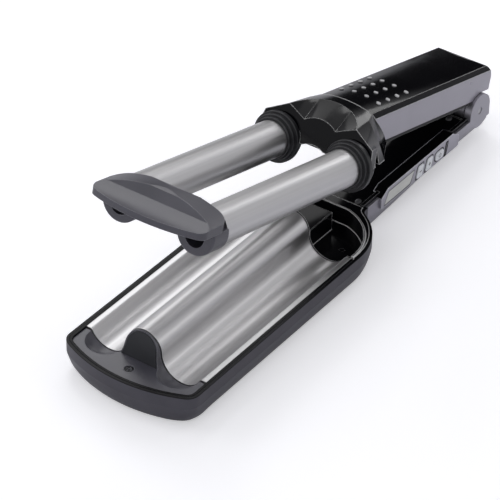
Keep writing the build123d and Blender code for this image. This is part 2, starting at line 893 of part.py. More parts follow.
# ---------------------------------------------------------------- lower arm: control panel
def panel_place(at, middle):
    """Place of a piece on the control panel's side, given behind the plate and over the rim."""
    return Location((plate_rear + at, rim_z + middle))


def button_shape(grow):
    return slanted(button_length + 2 * grow, button_height + 2 * grow, button_lean, button_round + grow)


def power_shape(grow):
    return slanted(power_length + 2 * grow, power_height + 2 * grow, 0, power_round + grow)


def lcd_shape(grow):
    return slanted(lcd_length + 2 * grow, lcd_height + 2 * grow, lcd_lean, panel_corner_round / 2)


lcd_at = lcd_start + lcd_length / 2

with BuildPart() as control_panel:
    with BuildSketch(upright(cavity_y + panel_roof)):
        add(panel_outline())
    extrude(amount=cavity_y + panel_roof - face_y)
    # only the plate itself reaches below the inner cover's top
    with BuildSketch(upright(handle_half)):
        with Locations((hinge_x, cover_top + seat_gap)):
            Rectangle(2 * plate_length, jaw_depth, align=(Align.CENTER, Align.MAX))
    extrude(amount=handle_half - panel_back_y, mode=Mode.SUBTRACT)
    with BuildSketch(upright(cavity_y)):
        with Locations((plate_rear + panel_start + panel_slope, rim_z)):
            Rectangle(
                panel_length - 2 * panel_slope,
                panel_over_rim - panel_roof,
                align=(Align.MIN, Align.MIN),
            )
    extrude(amount=cavity_y - panel_back_y, mode=Mode.SUBTRACT)
    with BuildSketch(upright(panel_back_y)):
        with Locations(panel_place(minus_at, button_middle), panel_place(plus_at, button_middle)):
            add(button_shape(button_gap))
        with Locations(panel_place(power_at, button_middle)):
            add(power_shape(button_gap))
        with Locations(panel_place(lcd_at, lcd_middle)):
            add(lcd_shape(seat_gap))
    extrude(amount=panel_depth, mode=Mode.SUBTRACT)
    with BuildSketch(upright(face_y)):
        with Locations(panel_place(slot_at, button_middle)):
            add(slanted(slot_width, slot_height, button_lean, slot_width / 3))
    extrude(amount=-shell_wall / 2, mode=Mode.SUBTRACT)
finish(control_panel.part, "control_panel")

with BuildPart() as lcd_window:
    with BuildSketch(upright(face_y)):
        with Locations(panel_place(lcd_at, lcd_middle)):
            add(lcd_shape(0))
    extrude(amount=-lcd_window_thickness)
finish(lcd_window.part, "lcd_window")

with BuildPart() as lcd_module:
    with BuildSketch(upright(face_y + lcd_window_thickness)):
        with Locations(panel_place(lcd_at, lcd_middle)):
            add(lcd_shape(0))
    extrude(amount=-lcd_module_thickness)
finish(lcd_module.part, "lcd_module")


def button(name, at, shape):
    """A button with a flange behind the panel, free to be pressed towards +Y."""
    with BuildPart() as form:
        with BuildSketch(upright(flange_y)):
            with Locations(panel_place(at, button_middle)):
                add(shape(0))
        extrude(amount=flange_y - face_y + button_proud)
        outer = form.faces().sort_by(Axis.Y)[0]
        fillet(outer.edges(), button_proud / 2)
        with BuildSketch(upright(flange_y)):
            with Locations(panel_place(at, button_middle)):
                add(shape(button_gap + button_flange))
        extrude(amount=-button_flange_thickness)
    finish(form.part, name)


button("minus_button", minus_at, button_shape)
button("plus_button", plus_at, button_shape)
button("power_button", power_at, power_shape)

with BuildPart() as button_switches:
    switch_places = [panel_place(at, switch_middle) for at in (minus_at, plus_at, power_at)]
    with BuildSketch(upright(board_y)):
        with Locations(switch_places):
            Rectangle(switch_size, switch_size)
    extrude(amount=switch_body)
    with BuildSketch(upright(board_y - switch_body)):
        with Locations(switch_places):
            Circle(switch_plunger_radius)
    extrude(amount=switch_plunger)
finish(button_switches.part, "button_switches")

with BuildPart() as control_board:
    with BuildSketch(upright(board_y)):
        with Locations((plate_rear + panel_start + panel_length / 2, control_board_foot)):
            Rectangle(
                panel_length - 2 * board_edge_inset,
                cover_underside - seat_gap - control_board_foot,
                align=(Align.CENTER, Align.MIN),
            )
    extrude(amount=-board_thickness)
finish(control_board.part, "control_board")


# ---------------------------------------------------------------- lower arm: heater and power board
with BuildPart() as plate_heater:
    heater_outer = ridge_radius - plate_thickness
    with BuildSketch(across(-heater_length / 2)):
        with Locations((0, wave_z)):
            Circle(heater_outer)
            Circle(heater_outer - heater_thickness, mode=Mode.SUBTRACT)
        with Locations((0, wave_z + heater_over_centre)):
            Rectangle(jaw_width, ridge_radius, align=(Align.CENTER, Align.MIN), mode=Mode.INTERSECT)
    extrude(amount=heater_length)
finish(plate_heater.part, "plate_heater")

with BuildPart() as heater_carrier:
    carrier_top = wave_z + heater_outer - heater_thickness
    with BuildSketch(across(-carrier_length / 2)):
        with Locations((0, wave_z)):
            Circle(heater_outer - heater_thickness)
        with Locations((0, shield_top)):
            Rectangle(carrier_width, wave_z - shield_top, align=(Align.CENTER, Align.MIN))
            Rectangle(carrier_width, carrier_top - shield_top, align=(Align.CENTER, Align.MIN), mode=Mode.INTERSECT)
            Rectangle(
                carrier_width - 2 * carrier_wall,
                wave_z - shield_top,
                align=(Align.CENTER, Align.MIN),
                mode=Mode.SUBTRACT,
            )
    extrude(amount=carrier_length)
finish(heater_carrier.part, "heater_carrier")

with BuildPart() as heat_shield:
    with BuildSketch(level(shield_z)):
        Rectangle(shield_length, shield_width)
    extrude(amount=shield_thickness)
    # ribs that stand it off the floor of the shell
    for x in rib_stations:
        with Locations((x, 0, shell_wall)):
            Box(rib_width, shield_width, shield_over_floor, align=(Align.CENTER, Align.CENTER, Align.MIN))
finish(heat_shield.part, "heat_shield")


def capsule(name, at, side, radius, length):
    """A round sensor lying along the underside of a trough."""
    with BuildPart() as form:
        with Locations((at, side * barrel_y, wave_z - trough_radius - plate_thickness - radius)):
            Cylinder(radius, length, rotation=(0, 90, 0))
    finish(form.part, name)


capsule("thermistor", sensor_at, -1, sensor_radius, sensor_length)
capsule("thermal_fuse", fuse_at, 1, fuse_radius, fuse_length)

with BuildPart() as power_board:
    with BuildSketch(level(power_board_over_table)):
        with Locations((power_board_x, power_board_y)):
            Rectangle(power_board_length, power_board_width)
    extrude(amount=board_thickness)
    with BuildSketch(level(power_board_over_table + board_thickness)):
        with Locations((power_board_x - power_board_length / 3, power_board_y)):
            Rectangle(power_board_width / 2, power_board_width / 2)
        with Locations((power_board_x + power_board_length / 4, power_board_y)):
            Rectangle(power_board_width, power_board_width / 3)
        with Locations((power_board_x, power_board_y)):
            Circle(power_board_width / 8)
    extrude(amount=cover_underside - power_board_over_table - 2 * board_thickness)
finish(power_board.part, "power_board")

with BuildPart() as housing_screws:
    for x, y in cup_screws:
        tip = cup_split + screw_grip - 4 * screw_end_gap
        add(screw(x, y, floor_z(x) + screw_sink + screw_head_height, tip))
    for x, y in grip_screws:
        tip = cover_underside - 2 * screw_end_gap
        add(screw(x, y, floor_z(x) + screw_sink + screw_head_height, tip))
finish(housing_screws.part, "housing_screws")


# ---------------------------------------------------------------- hinge and cord outlet
with BuildPart() as hinge_pin:
    with Locations((hinge_x, 0, hinge_z)):
        Cylinder(pin_radius, handle_width - 2 * pin_sink, rotation=(90, 0, 0))
finish(hinge_pin.part, "hinge_pin")

with BuildPart() as hinge_washers:
    for side in (-1, 1):
        with Locations((hinge_x, side * (ear_inner - seat_gap - washer_thickness / 2), hinge_z)):
            Cylinder(washer_radius, washer_thickness, rotation=(90, 0, 0))
    with Locations((hinge_x, 0, hinge_z)):
        Cylinder(pin_radius + pin_running_gap, handle_width, rotation=(90, 0, 0), mode=Mode.SUBTRACT)
finish(hinge_washers.part, "hinge_washers")

with BuildPart() as hinge_spring:
    coil_pitch = (spring_slot - 2 * spring_wire) / spring_turns
    coil_span = coil_pitch * spring_turns
    with BuildLine() as coil_line:
        coil = Helix(
            coil_pitch,
            coil_span,
            spring_coil_radius,
            center=(hinge_x, coil_span / 2, hinge_z),
            direction=(0, -1, 0),
        )
    with BuildSketch(Plane(origin=coil @ 0, z_dir=coil % 0)):
        Circle(spring_wire / 2)
    sweep(is_frenet=True)
    # one straight leg along the tongue, and one down to the shell's floor
    with BuildSketch(across(hinge_x)):
        with Locations(((coil @ 0).Y, (coil @ 0).Z)):
            Circle(spring_wire / 2)
    extrude(amount=-spring_leg)
    foot = coil @ 1
    floor_top = grip_rise + shell_wall
    add(post(hinge_x + spring_wire / 4, foot.Y, floor_top, foot.Z + spring_wire / 8, spring_wire / 2))
finish(hinge_spring.part, "hinge_spring")

with BuildPart() as cord_swivel:
    wall_x = tail_x - shell_wall
    with BuildSketch(upright(0)):
        with BuildLine():
            Polyline(
                (wall_x - swivel_gap - swivel_flange_thickness, swivel_over_table + cord_bore_radius),
                (wall_x - swivel_gap - swivel_flange_thickness, swivel_over_table + swivel_flange_radius),
                (wall_x - swivel_gap, swivel_over_table + swivel_flange_radius),
                (wall_x - swivel_gap, swivel_over_table + swivel_neck_radius),
                (tail_x + swivel_gap, swivel_over_table + swivel_neck_radius),
                (tail_x + swivel_gap, swivel_over_table + swivel_head_radius),
                (tail_x + swivel_head_length / 3, swivel_over_table + swivel_head_radius),
                (tail_x + swivel_head_length, swivel_over_table + swivel_tip_radius),
                (tail_x + swivel_head_length, swivel_over_table + cord_bore_radius),
                close=True,
            )
        make_face()
    revolve(axis=Axis((0, 0, swivel_over_table), (1, 0, 0)))
finish(cord_swivel.part, "cord_swivel")


# ---------------------------------------------------------------- upper arm: handle
def ring_x(z, gap=0.0):
    """Station of the leaning joint between head and handle at height z of the shut arm."""
    return plate_rear + ring_at_seam + gap - ring_lean * (z - seam_z)


def behind_ring(gap, bottom, top, rear):
    """Side outline of the handle from the leaning joint to the rear, with its rounded tail."""
    with BuildSketch() as outline:
        with BuildLine():
            Polyline(
                (ring_x(bottom, gap), bottom),
                (ring_x(top, gap), top),
                (rear, top),
                (rear, bottom),
                close=True,
            )
        make_face()
    return outline.sketch


grip_top_z = barrel_z + grip_top
crown_front_z = barrel_z + grip_crown_front
crown_rear_z = barrel_z + grip_crown_rear
tail_rear = hinge_x + upper_tail
web_top = hinge_z + tongue_web_top + tongue_web_thickness
bulkhead = grip_wall * sqrt(1 + ring_lean**2)
tenon_bottom = barrel_z + tenon_heights[0]
tenon_top = barrel_z + tenon_heights[1]


def tail_cutter():
    """What is cut off the handle's tail to round it, seen from the side."""
    with BuildSketch() as outline:
        with BuildLine():
            top = crown_rear_z
            Line((tail_rear, top - upper_tail_round), (tail_rear + grip_wall, top - upper_tail_round))
            Line((tail_rear + grip_wall, top - upper_tail_round), (tail_rear + grip_wall, top + grip_top))
            Line((tail_rear + grip_wall, top + grip_top), (tail_rear - upper_tail_round, top + grip_top))
            Line((tail_rear - upper_tail_round, top + grip_top), (tail_rear - upper_tail_round, top))
            CenterArc((tail_rear - upper_tail_round, top - upper_tail_round), upper_tail_round, 0, 90)
        make_face()
    return outline.sketch


with BuildPart() as upper_side_shell:
    with BuildSketch(upright(0)):
        add(behind_ring(ring_gap / 2, seam_z, grip_top_z, tail_rear))
    extrude(amount=grip_half, both=True)
    with BuildSketch(upright(0)):
        add(behind_ring(ring_gap / 2 + bulkhead, seam_z, grip_top_z, tail_rear - grip_wall))
    extrude(amount=grip_half - grip_wall, both=True, mode=Mode.SUBTRACT)
    # tenon into the head
    with BuildSketch(upright(0)):
        with BuildLine():
            Polyline(
                (ring_x(tenon_bottom, -tenon_length), tenon_bottom),
                (ring_x(tenon_top, -tenon_length), tenon_top),
                (ring_x(tenon_top, bulkhead / 2), tenon_top),
                (ring_x(tenon_bottom, bulkhead / 2), tenon_bottom),
                close=True,
            )
        make_face()
    extrude(amount=tenon_half_width, both=True)
    # room for the lower arm's cheeks
    with BuildSketch(upright(-tongue_half)):
        with Locations((hinge_x, hinge_z)):
            Circle(ear_radius + hinge_gap)
            Rectangle(2 * ear_radius, ear_radius + hinge_gap, align=(Align.MIN, Align.MIN))
    extrude(amount=grip_half, mode=Mode.SUBTRACT)
    with BuildSketch(upright(tongue_half + grip_half)):
        with Locations((hinge_x, hinge_z)):
            Circle(ear_radius + hinge_gap)
            Rectangle(2 * ear_radius, ear_radius + hinge_gap, align=(Align.MIN, Align.MIN))
    extrude(amount=grip_half, mode=Mode.SUBTRACT)
    # tongue on the pin, and the web that ties it to the side walls
    with BuildSketch(upright(0)):
        with Locations((hinge_x, hinge_z)):
            Circle(tongue_radius)
        with Locations((hinge_x - tongue_radius, hinge_z)):
            Rectangle(tongue_radius + upper_tail, tongue_web_top + tongue_web_thickness / 2, align=(Align.MIN, Align.MIN))
    extrude(amount=tongue_half, both=True)
    with Locations((hinge_x - tongue_radius, 0, hinge_z + tongue_web_top)):
        Box(
            tongue_radius + upper_tail,
            2 * grip_half - grip_wall,
            tongue_web_thickness,
            align=(Align.MIN, Align.CENTER, Align.MIN),
        )
    with BuildSketch(upright(0)):
        with Locations((hinge_x, hinge_z)):
            Circle(spring_slot_radius)
            Rectangle(2 * ear_radius, ear_radius, align=(Align.CENTER, Align.MAX))
    extrude(amount=spring_slot / 2, both=True, mode=Mode.SUBTRACT)
    with Locations((hinge_x, 0, hinge_z)):
        Cylinder(pin_radius + pin_running_gap, handle_width, rotation=(90, 0, 0), mode=Mode.SUBTRACT)
    with BuildSketch(upright(0)):
        add(tail_cutter())
    extrude(amount=grip_half + grip_wall, both=True, mode=Mode.SUBTRACT)
finish_upper(upper_side_shell.part, "upper_side_shell")


def crown_section(x, wall, crown):
    """The arched section of the handle's top at station x, moved in by wall."""
    side_y = panel_edge - wall
    corner_y = panel_corner[0] - wall
    corner_z = barrel_z + panel_corner[1] - wall
    with BuildSketch(across(x)) as section:
        with BuildLine():
            Line((-side_y, grip_top_z), (-corner_y, corner_z))
            ThreePointArc((-corner_y, corner_z), (0, crown - wall), (corner_y, corner_z))
            Line((corner_y, corner_z), (side_y, grip_top_z))
            Line((side_y, grip_top_z), (-side_y, grip_top_z))
        make_face()
    return section.sketch


def crown_form(wall):
    """The solid arch of the handle's top, moved in by wall; a negative wall makes it larger."""
    with BuildPart() as form:
        add(crown_section(plate_rear + head_mid, wall, crown_front_z))
        add(crown_section(tail_rear, wall, crown_rear_z))
        loft(ruled=True)
        with BuildSketch(upright(0)):
            add(behind_ring(ring_gap / 2, seam_z, crown_front_z + grip_wall, tail_rear))
        extrude(amount=grip_half + grip_wall, both=True, mode=Mode.INTERSECT)
    return form.part


with BuildPart() as upper_top_panel:
    add(crown_form(0))
    add(crown_form(top_panel_wall), mode=Mode.SUBTRACT)
    with BuildSketch(upright(0)):
        add(tail_cutter())
    extrude(amount=grip_half + grip_wall, both=True, mode=Mode.SUBTRACT)
finish_upper(upper_top_panel.part, "upper_top_panel")

with BuildPart() as grip_studs:
    with BuildSketch(level(grip_top_z)):
        with Locations((plate_rear + first_stud + 1.5 * stud_pitch_along, 0)):
            with GridLocations(stud_pitch_along, stud_pitch_across, stud_rows, stud_rows):
                Circle(stud_radius)
    extrude(amount=crown_front_z - grip_top_z + grip_wall)
    add(crown_form(-stud_height), mode=Mode.INTERSECT)
    add(crown_form(0), mode=Mode.SUBTRACT)
finish_upper(grip_studs.part, "grip_studs")

with BuildPart() as upper_inner_cover:
    cover_x = ring_x(seam_z, ring_gap)
    with BuildSketch(level(seam_z - upper_cover_thickness)):
        with Locations((cover_x, 0)):
            Rectangle(
                hinge_x - ear_radius - 2 * hinge_gap - cover_x,
                2 * (grip_half - upper_cover_inset),
                align=(Align.MIN, Align.CENTER),
            )
    extrude(amount=upper_cover_thickness)
finish_upper(upper_inner_cover.part, "upper_inner_cover")


# ---------------------------------------------------------------- upper arm: head
def head_section(x, points, crown):
    """Half outlines mirrored into one closed section; heights are over the barrels' axes."""
    right = [(y, barrel_z + z) for y, z in points]
    left = [(-y, z) for y, z in reversed(right)]
    with BuildSketch(across(x)) as section:
        with BuildLine():
            Polyline(*right)
            ThreePointArc(right[-1], (0, barrel_z + crown), left[0])
            Polyline(*left)
            Line(left[-1], right[0])
        make_face()
    return section.sketch


head_sections = (
    # station behind the plate, then seam, shoulder, side and crest as (y, height) pairs
    (head_front - head_lead, ((35.6, seam_over_axis), (35.2, 12.9), (28.4, 15.6), (21.8, 18.0))),
    (head_mid, ((31.5, seam_over_axis), (27.4, 8.2), (23.0, 13.6), (18.5, 18.8))),
    (head_waist, ((26.5, seam_over_axis), (23.9, 6.2), (17.0, 16.5), (15.5, 19.6))),
    (head_tail, ((17.2, seam_over_axis), (17.1, 3.0), (17.0, 16.5), (15.5, 19.6))),
)

with BuildPart() as head_loft:
    for station, points in head_sections:
        add(head_section(plate_rear + station, points, head_crown))
    loft(ruled=True)


def valley_section(x, rim, ear, valley, middle):
    """Section of the tool that scoops the valley between the two barrels out of the head."""
    wide = jaw_width / 2
    top = barrel_z + 2 * head_crown
    with BuildSketch(across(x)) as section:
        with BuildLine():
            Polyline((valley[0], barrel_z + valley[1]), (ear[0], barrel_z + ear[1]), (wide, barrel_z + rim))
            Polyline((wide, barrel_z + rim), (wide, top), (-wide, top), (-wide, barrel_z + rim))
            Polyline((-wide, barrel_z + rim), (-ear[0], barrel_z + ear[1]), (-valley[0], barrel_z + valley[1]))
            ThreePointArc(
                (-valley[0], barrel_z + valley[1]),
                (0, barrel_z + middle),
                (valley[0], barrel_z + valley[1]),
            )
        make_face()
    return section.sketch


with BuildPart() as valley:
    for at, rim, ear, foot, middle in (
        (valley_front, valley_front_rim, valley_front_ear, valley_front_foot, valley_front_middle),
        (valley_rear, valley_rear_rim, valley_rear_ear, valley_rear_foot, valley_rear_middle),
    ):
        add(valley_section(plate_rear + at, rim, ear, foot, middle))
    loft(ruled=True)


def head_front_x(z):
    return plate_rear + head_front + head_lean * (z - barrel_z)


with BuildPart() as head:
    add(head_loft.part)
    with BuildSketch(upright(0)):
        with BuildLine():
            top = barrel_z + head_crown + grip_wall
            Polyline(
                (head_front_x(seam_z), seam_z),
                (head_front_x(top), top),
                (ring_x(top, -ring_gap / 2), top),
                (ring_x(seam_z, -ring_gap / 2), seam_z),
                close=True,
            )
        make_face()
    extrude(amount=jaw_width, both=True, mode=Mode.INTERSECT)
    add(valley.part, mode=Mode.SUBTRACT)
    # arch under the front edge, between the barrels
    with Locations((head_front_x(seam_z), 0, barrel_z - arch_drop)):
        Cylinder(arch_radius, 2 * arch_length, rotation=(0, 90, 0), mode=Mode.SUBTRACT)
    # seats for the collars
    for side in (-1, 1):
        with Locations((0, side * barrel_y, barrel_z)):
            with Locations((collar_end + head_bore_gap, 0, 0)):
                Cylinder(
                    collar_radii[-1] + head_bore_gap,
                    2 * head_front,
                    rotation=(0, -90, 0),
                    align=(Align.CENTER, Align.CENTER, Align.MIN),
                    mode=Mode.SUBTRACT,
                )
            with Locations((housing_end + head_bore_gap, 0, 0)):
                Cylinder(
                    housing_upper_radius + head_bore_gap,
                    housing_length + head_bore_gap,
                    rotation=(0, -90, 0),
                    align=(Align.CENTER, Align.CENTER, Align.MIN),
                    mode=Mode.SUBTRACT,
                )
    # socket for the handle's tenon and room for the wires
    with BuildSketch(upright(0)):
        with BuildLine():
            Polyline(
                (ring_x(tenon_bottom - tenon_gap, -tenon_length - tenon_gap), tenon_bottom - tenon_gap),
                (ring_x(tenon_top + tenon_gap, -tenon_length - tenon_gap), tenon_top + tenon_gap),
                (ring_x(tenon_top + tenon_gap, ring_gap), tenon_top + tenon_gap),
                (ring_x(tenon_bottom - tenon_gap, ring_gap), tenon_bottom - tenon_gap),
                close=True,
            )
        make_face()
    extrude(amount=tenon_half_width + tenon_gap, both=True, mode=Mode.SUBTRACT)
    with Locations((plate_rear + head_cavity_at, 0, seam_z)):
        Box(
            head_cavity[1] / 2,
            head_cavity[0],
            head_cavity[2],
            align=(Align.CENTER, Align.CENTER, Align.MIN),
            mode=Mode.SUBTRACT,
        )
finish_upper(head.part, "head")

with BuildPart() as head_skirt:
    with BuildSketch(level(seam_z)):
        skirt_stations = (skirt_start, head_mid, head_waist, ring_at_seam)
        outline = [(plate_rear + x, y) for x, y in zip(skirt_stations, skirt_half_widths)]
        with BuildLine():
            Polyline(*outline, *[(x, -y) for x, y in reversed(outline)], close=True)
        make_face()
    extrude(amount=-(seam_over_axis + skirt_drop), taper=skirt_taper)
    # housings that it must clear
    for side in (-1, 1):
        with Locations((housing_end + head_bore_gap, side * barrel_y, barrel_z)):
            Cylinder(
                housing_radius + head_bore_gap,
                2 * housing_length,
                rotation=(0, -90, 0),
                align=(Align.CENTER, Align.CENTER, Align.MIN),
                mode=Mode.SUBTRACT,
            )
finish_upper(head_skirt.part, "head_skirt")


# ---------------------------------------------------------------- upper arm: barrels and tip bar
def about_barrel(side):
    return Axis((0, side * barrel_y, barrel_z), (1, 0, 0))


def collar(side):
    """The stepped collar and the housing behind it that carry one barrel."""
    with BuildPart() as form:
        with BuildSketch(upright(side * barrel_y)):
            x = plate_rear + collar_start
            with BuildLine():
                profile = [(x, barrel_z)]
                for radius, step in zip(collar_radii, collar_steps):
                    profile.append((x, barrel_z + radius))
                    x = x + step
                    profile.append((x, barrel_z + radius))
                profile.append((x, barrel_z + housing_radius))
                profile.append((x + housing_straight, barrel_z + housing_radius))
                Polyline(*profile)
                Line(profile[0], (housing_end, barrel_z))
                Line((housing_end, barrel_z), (housing_end, barrel_z + housing_end_radius))
                ThreePointArc(
                    profile[-1],
                    (
                        (profile[-1][0] + 3 * housing_end) / 4,
                        barrel_z + (housing_radius + 2 * housing_end_radius) / 3,
                    ),
                    (housing_end, barrel_z + housing_end_radius),
                )
            make_face()
        revolve(axis=about_barrel(side))
        rings = form.edges().filter_by(GeomType.CIRCLE).filter_by(lambda e: e.center().X < collar_end - 0.01)
        front_edges = [rings.filter_by(lambda e: abs(e.radius - r) < 0.01).sort_by(Axis.X)[0] for r in collar_radii]
        fillet(front_edges, collar_edge)
        # above the seam the housing is a plain tube inside the head
        with BuildSketch(across(collar_end)):
            with Locations((side * barrel_y, barrel_z)):
                Circle(2 * housing_radius)
                Circle(housing_upper_radius, mode=Mode.SUBTRACT)
            with Locations((side * barrel_y, seam_z - head_bore_gap)):
                Rectangle(
                    4 * housing_radius,
                    4 * housing_radius,
                    align=(Align.CENTER, Align.MIN),
                    mode=Mode.INTERSECT,
                )
        extrude(amount=2 * housing_length, mode=Mode.SUBTRACT)
        with Locations((barrel_end, side * barrel_y, barrel_z)):
            Cylinder(
                barrel_radius + barrel_seat_gap,
                2 * barrel_in_housing + 4 * housing_length,
                rotation=(0, -90, 0),
                align=(Align.CENTER, Align.CENTER, Align.MIN),
                mode=Mode.SUBTRACT,
            )
            Cylinder(wire_radius, 4 * housing_length, rotation=(0, 90, 0), mode=Mode.SUBTRACT)
    return form.part


def tube(side, start, end, outer, inner):
    """A tube about a barrel's axis between two stations."""
    with BuildPart() as form:
        with BuildSketch(across(start)):
            with Locations((side * barrel_y, barrel_z)):
                Circle(outer)
                Circle(inner, mode=Mode.SUBTRACT)
        extrude(amount=end - start)
    return form.part


def end_cup(side):
    """The cup that closes a barrel's tip: flat on top under the tip bar, with a half-moon vent."""
    cup_rear = plate_front + barrel_start - seat_gap
    cavity_radius = inner_barrel - seat_gap - barrel_wall
    cavity_top = barrel_z + bar_foot - barrel_wall
    with BuildPart() as form:
        with BuildSketch(across(plate_front)):
            with Locations((side * barrel_y, barrel_z)):
                Circle(cup_radius)
        extrude(amount=cup_rear - plate_front)
        fillet(form.faces().sort_by(Axis.X)[0].edges(), cup_front_round)
        with BuildSketch(level(barrel_z + bar_foot - seat_gap)):
            Rectangle(plate_length + nose_reach, jaw_width)
        extrude(amount=cup_radius, mode=Mode.SUBTRACT)
        add(tube(side, cup_rear, cup_rear + cup_plug_length, inner_barrel - seat_gap, cavity_radius))
        with BuildSketch(across(plate_front + vent_depth)):
            with Locations((side * barrel_y, barrel_z)):
                Circle(cavity_radius)
            with Locations((side * barrel_y, cavity_top)):
                Rectangle(2 * cup_radius, 2 * cup_radius, align=(Align.CENTER, Align.MAX), mode=Mode.INTERSECT)
        extrude(amount=cup_rear - plate_front, mode=Mode.SUBTRACT)
        with BuildSketch(across(plate_front - vent_depth)):
            with Locations((side * barrel_y, barrel_z - vent_below_axis)):
                Circle(vent_radius)
                Rectangle(2 * cup_radius, 2 * cup_radius, align=(Align.CENTER, Align.MAX), mode=Mode.INTERSECT)
        extrude(amount=3 * vent_depth, mode=Mode.SUBTRACT)
    return form.part


for side, name in ((-1, "left"), (1, "right")):
    finish_upper(collar(side), f"collar_{name}")
    finish_upper(tube(side, plate_front + barrel_start, barrel_end, barrel_radius, inner_barrel), f"barrel_{name}")
    core_x = plate_front + core_start
    core = tube(side, core_x, core_x + core_length, inner_barrel - core_gap, core_bore)
    finish_upper(core, f"heater_core_{name}")
    finish_upper(end_cup(side), f"end_cup_{name}")


def bar_side(sink):
    """Side section of the tip bar, lowered by sink: low shelf, steep riser and high crest."""
    front = plate_front - bar_ahead
    foot = barrel_z + bar_foot
    with BuildSketch(upright(jaw_half)) as section:
        with BuildLine():
            shelf = [(front + x, barrel_z + z - sink) for x, z in bar_shelf]
            crest = [(front + x, barrel_z + z - sink) for x, z in bar_crest]
            Line((front, foot), shelf[0])
            Spline(*shelf)
            Line(shelf[-1], crest[0])
            Spline(*crest)
            Polyline(crest[-1], (front + bar_length + 1, foot), (front, foot))
        make_face()
    return section.sketch


def bar_form(inset):
    """The tip bar's outer form, or the same form moved in by inset."""
    front = plate_front - bar_ahead + inset
    rear = plate_front - bar_ahead + bar_length - inset
    half = bar_half_width - inset
    bow_radius = bar_bow_radius - inset
    bow = bow_radius - sqrt(bow_radius**2 - half**2)
    foot = barrel_z + bar_foot
    with BuildPart() as form:
        with BuildSketch(level(foot)) as plan:
            with BuildLine():
                ThreePointArc((front + bow, -half), (front, 0), (front + bow, half))
                Polyline((front + bow, half), (rear, half), (rear, -half), (front + bow, -half))
            make_face()
            fillet(plan.vertices().group_by(Axis.X)[0], bar_front_corner - inset)
            fillet(plan.vertices().group_by(Axis.X)[-1], bar_rear_corner - inset)
        extrude(amount=2 * bar_crest_height)
        add(bar_side(inset))
        extrude(amount=jaw_width, dir=(0, -1, 0), mode=Mode.INTERSECT)
        with BuildSketch(across(front - 1)):
            with BuildLine():
                end_z = barrel_z + bar_end_crest - inset
                ThreePointArc((-half, end_z), (0, barrel_z + bar_crest_height - inset), (half, end_z))
                Polyline((half, end_z), (half, foot), (-half, foot), (-half, end_z))
            make_face()
        extrude(amount=bar_length + 2, mode=Mode.INTERSECT)
    return form.part


with BuildPart() as tip_bar:
    add(bar_form(0))
    add(bar_form(bar_wall), mode=Mode.SUBTRACT)
    # ribs that rest on the two end cups
    with BuildPart(mode=Mode.PRIVATE) as ribs:
        for side in (-1, 1):
            with Locations((plate_front, side * barrel_y, barrel_z + bar_foot)):
                Box(
                    bar_length - bar_ahead - bar_wall / 2,
                    bar_rib,
                    bar_end_crest - bar_foot + bar_wall,
                    align=(Align.MIN, Align.CENTER, Align.MIN),
                )
    add(ribs.part)
    # room for the ridge of the plate and the hump when the jaws shut
    with Locations((plate_front - hump_front + bar_wall, 0, wave_z)):
        Cylinder(
            ridge_radius + tunnel_gap,
            bar_length,
            rotation=(0, 90, 0),
            align=(Align.CENTER, Align.CENTER, Align.MIN),
            mode=Mode.SUBTRACT,
        )
finish_upper(tip_bar.part, "tip_bar")
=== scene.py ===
import bpy
import bmesh
from math import cos, radians, sin
from mathutils import Matrix, Vector


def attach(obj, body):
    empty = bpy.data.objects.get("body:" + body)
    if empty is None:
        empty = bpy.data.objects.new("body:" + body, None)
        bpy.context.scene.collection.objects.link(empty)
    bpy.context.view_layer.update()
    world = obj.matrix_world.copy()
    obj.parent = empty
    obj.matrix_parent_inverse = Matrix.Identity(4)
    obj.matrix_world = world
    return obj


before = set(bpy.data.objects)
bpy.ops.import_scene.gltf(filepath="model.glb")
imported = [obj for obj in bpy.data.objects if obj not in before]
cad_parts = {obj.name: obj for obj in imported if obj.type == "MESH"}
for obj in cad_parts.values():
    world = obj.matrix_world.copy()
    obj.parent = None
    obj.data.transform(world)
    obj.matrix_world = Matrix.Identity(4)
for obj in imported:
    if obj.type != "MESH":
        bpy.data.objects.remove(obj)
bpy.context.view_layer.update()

MM = 0.001

# ------------------------------------------------------------------ places from the model, mm and degrees
RIM_TOP = 18.0
# depth of the painted dark reflection along the top of the shell's rim
RIM_BAND = 0.35
JAW_OPEN = 14.2
PANEL_FACE = -20.2
COVER_TOP = 19.0
KEY_FACE = -20.9
KEY_ROW = 15.6
KEYS = {"minus": 151.7, "plus": 160.7, "power": 171.1}

# rounded parallelograms in the panel: length, height, lean, corner
ROCKER_KEY = (5.4, 7.2, 2.2, 1.3)
POWER_KEY = (8.2, 5.2, 0, 2.4)
WINDOW = (25, 6.6, 4, 0.6)
WINDOW_PLACE = (132.0, 15.7)
SLOT = (1.3, 7.6, 2.2, 0.43)
# the slot's back: a dark sheet set into the recess, painted shadow
SLOT_BACK = (1.2, 7.5, 2.2, 0.4)
SLOT_PLACE = (178.1, 15.6)
SLOT_DEPTH = 0.7
# their dark outlines, outer and inner edge beyond the shape: painted shade in the gaps round the keys and the
# slot, a printed border round the window
ROCKER_BAND = (0.85, 0.27)
POWER_BAND = (0.8, 0.27)
SLOT_BAND = (0.75, -0.2)
WINDOW_BAND = (0.5, 0.0)
# printed signs: length and width of a stroke, thickness of a flat sheet and that of a stroke over another;
# the same sheet thickness serves the painted shadow at the back of the slot, and the last number is the
# thickness of the dark outlines
STROKE = (2.2, 0.45)
SHEET_THICKNESS = 0.04
OVERPRINT = 0.05
BAND_THICKNESS = 0.03

# soft stops: name and middle, then the height and radius of each step, drawn out along the handle
STOPS = (("front_stop", 104.2, -12.4), ("rear_stop", 199.3, -8.5))
STOP_STEPS = ((0, 1.7), (0.5, 1.65), (0.9, 1.35), (1.15, 0.8))
STOP_STRETCH = 1.25
STOP_SIDES = 24

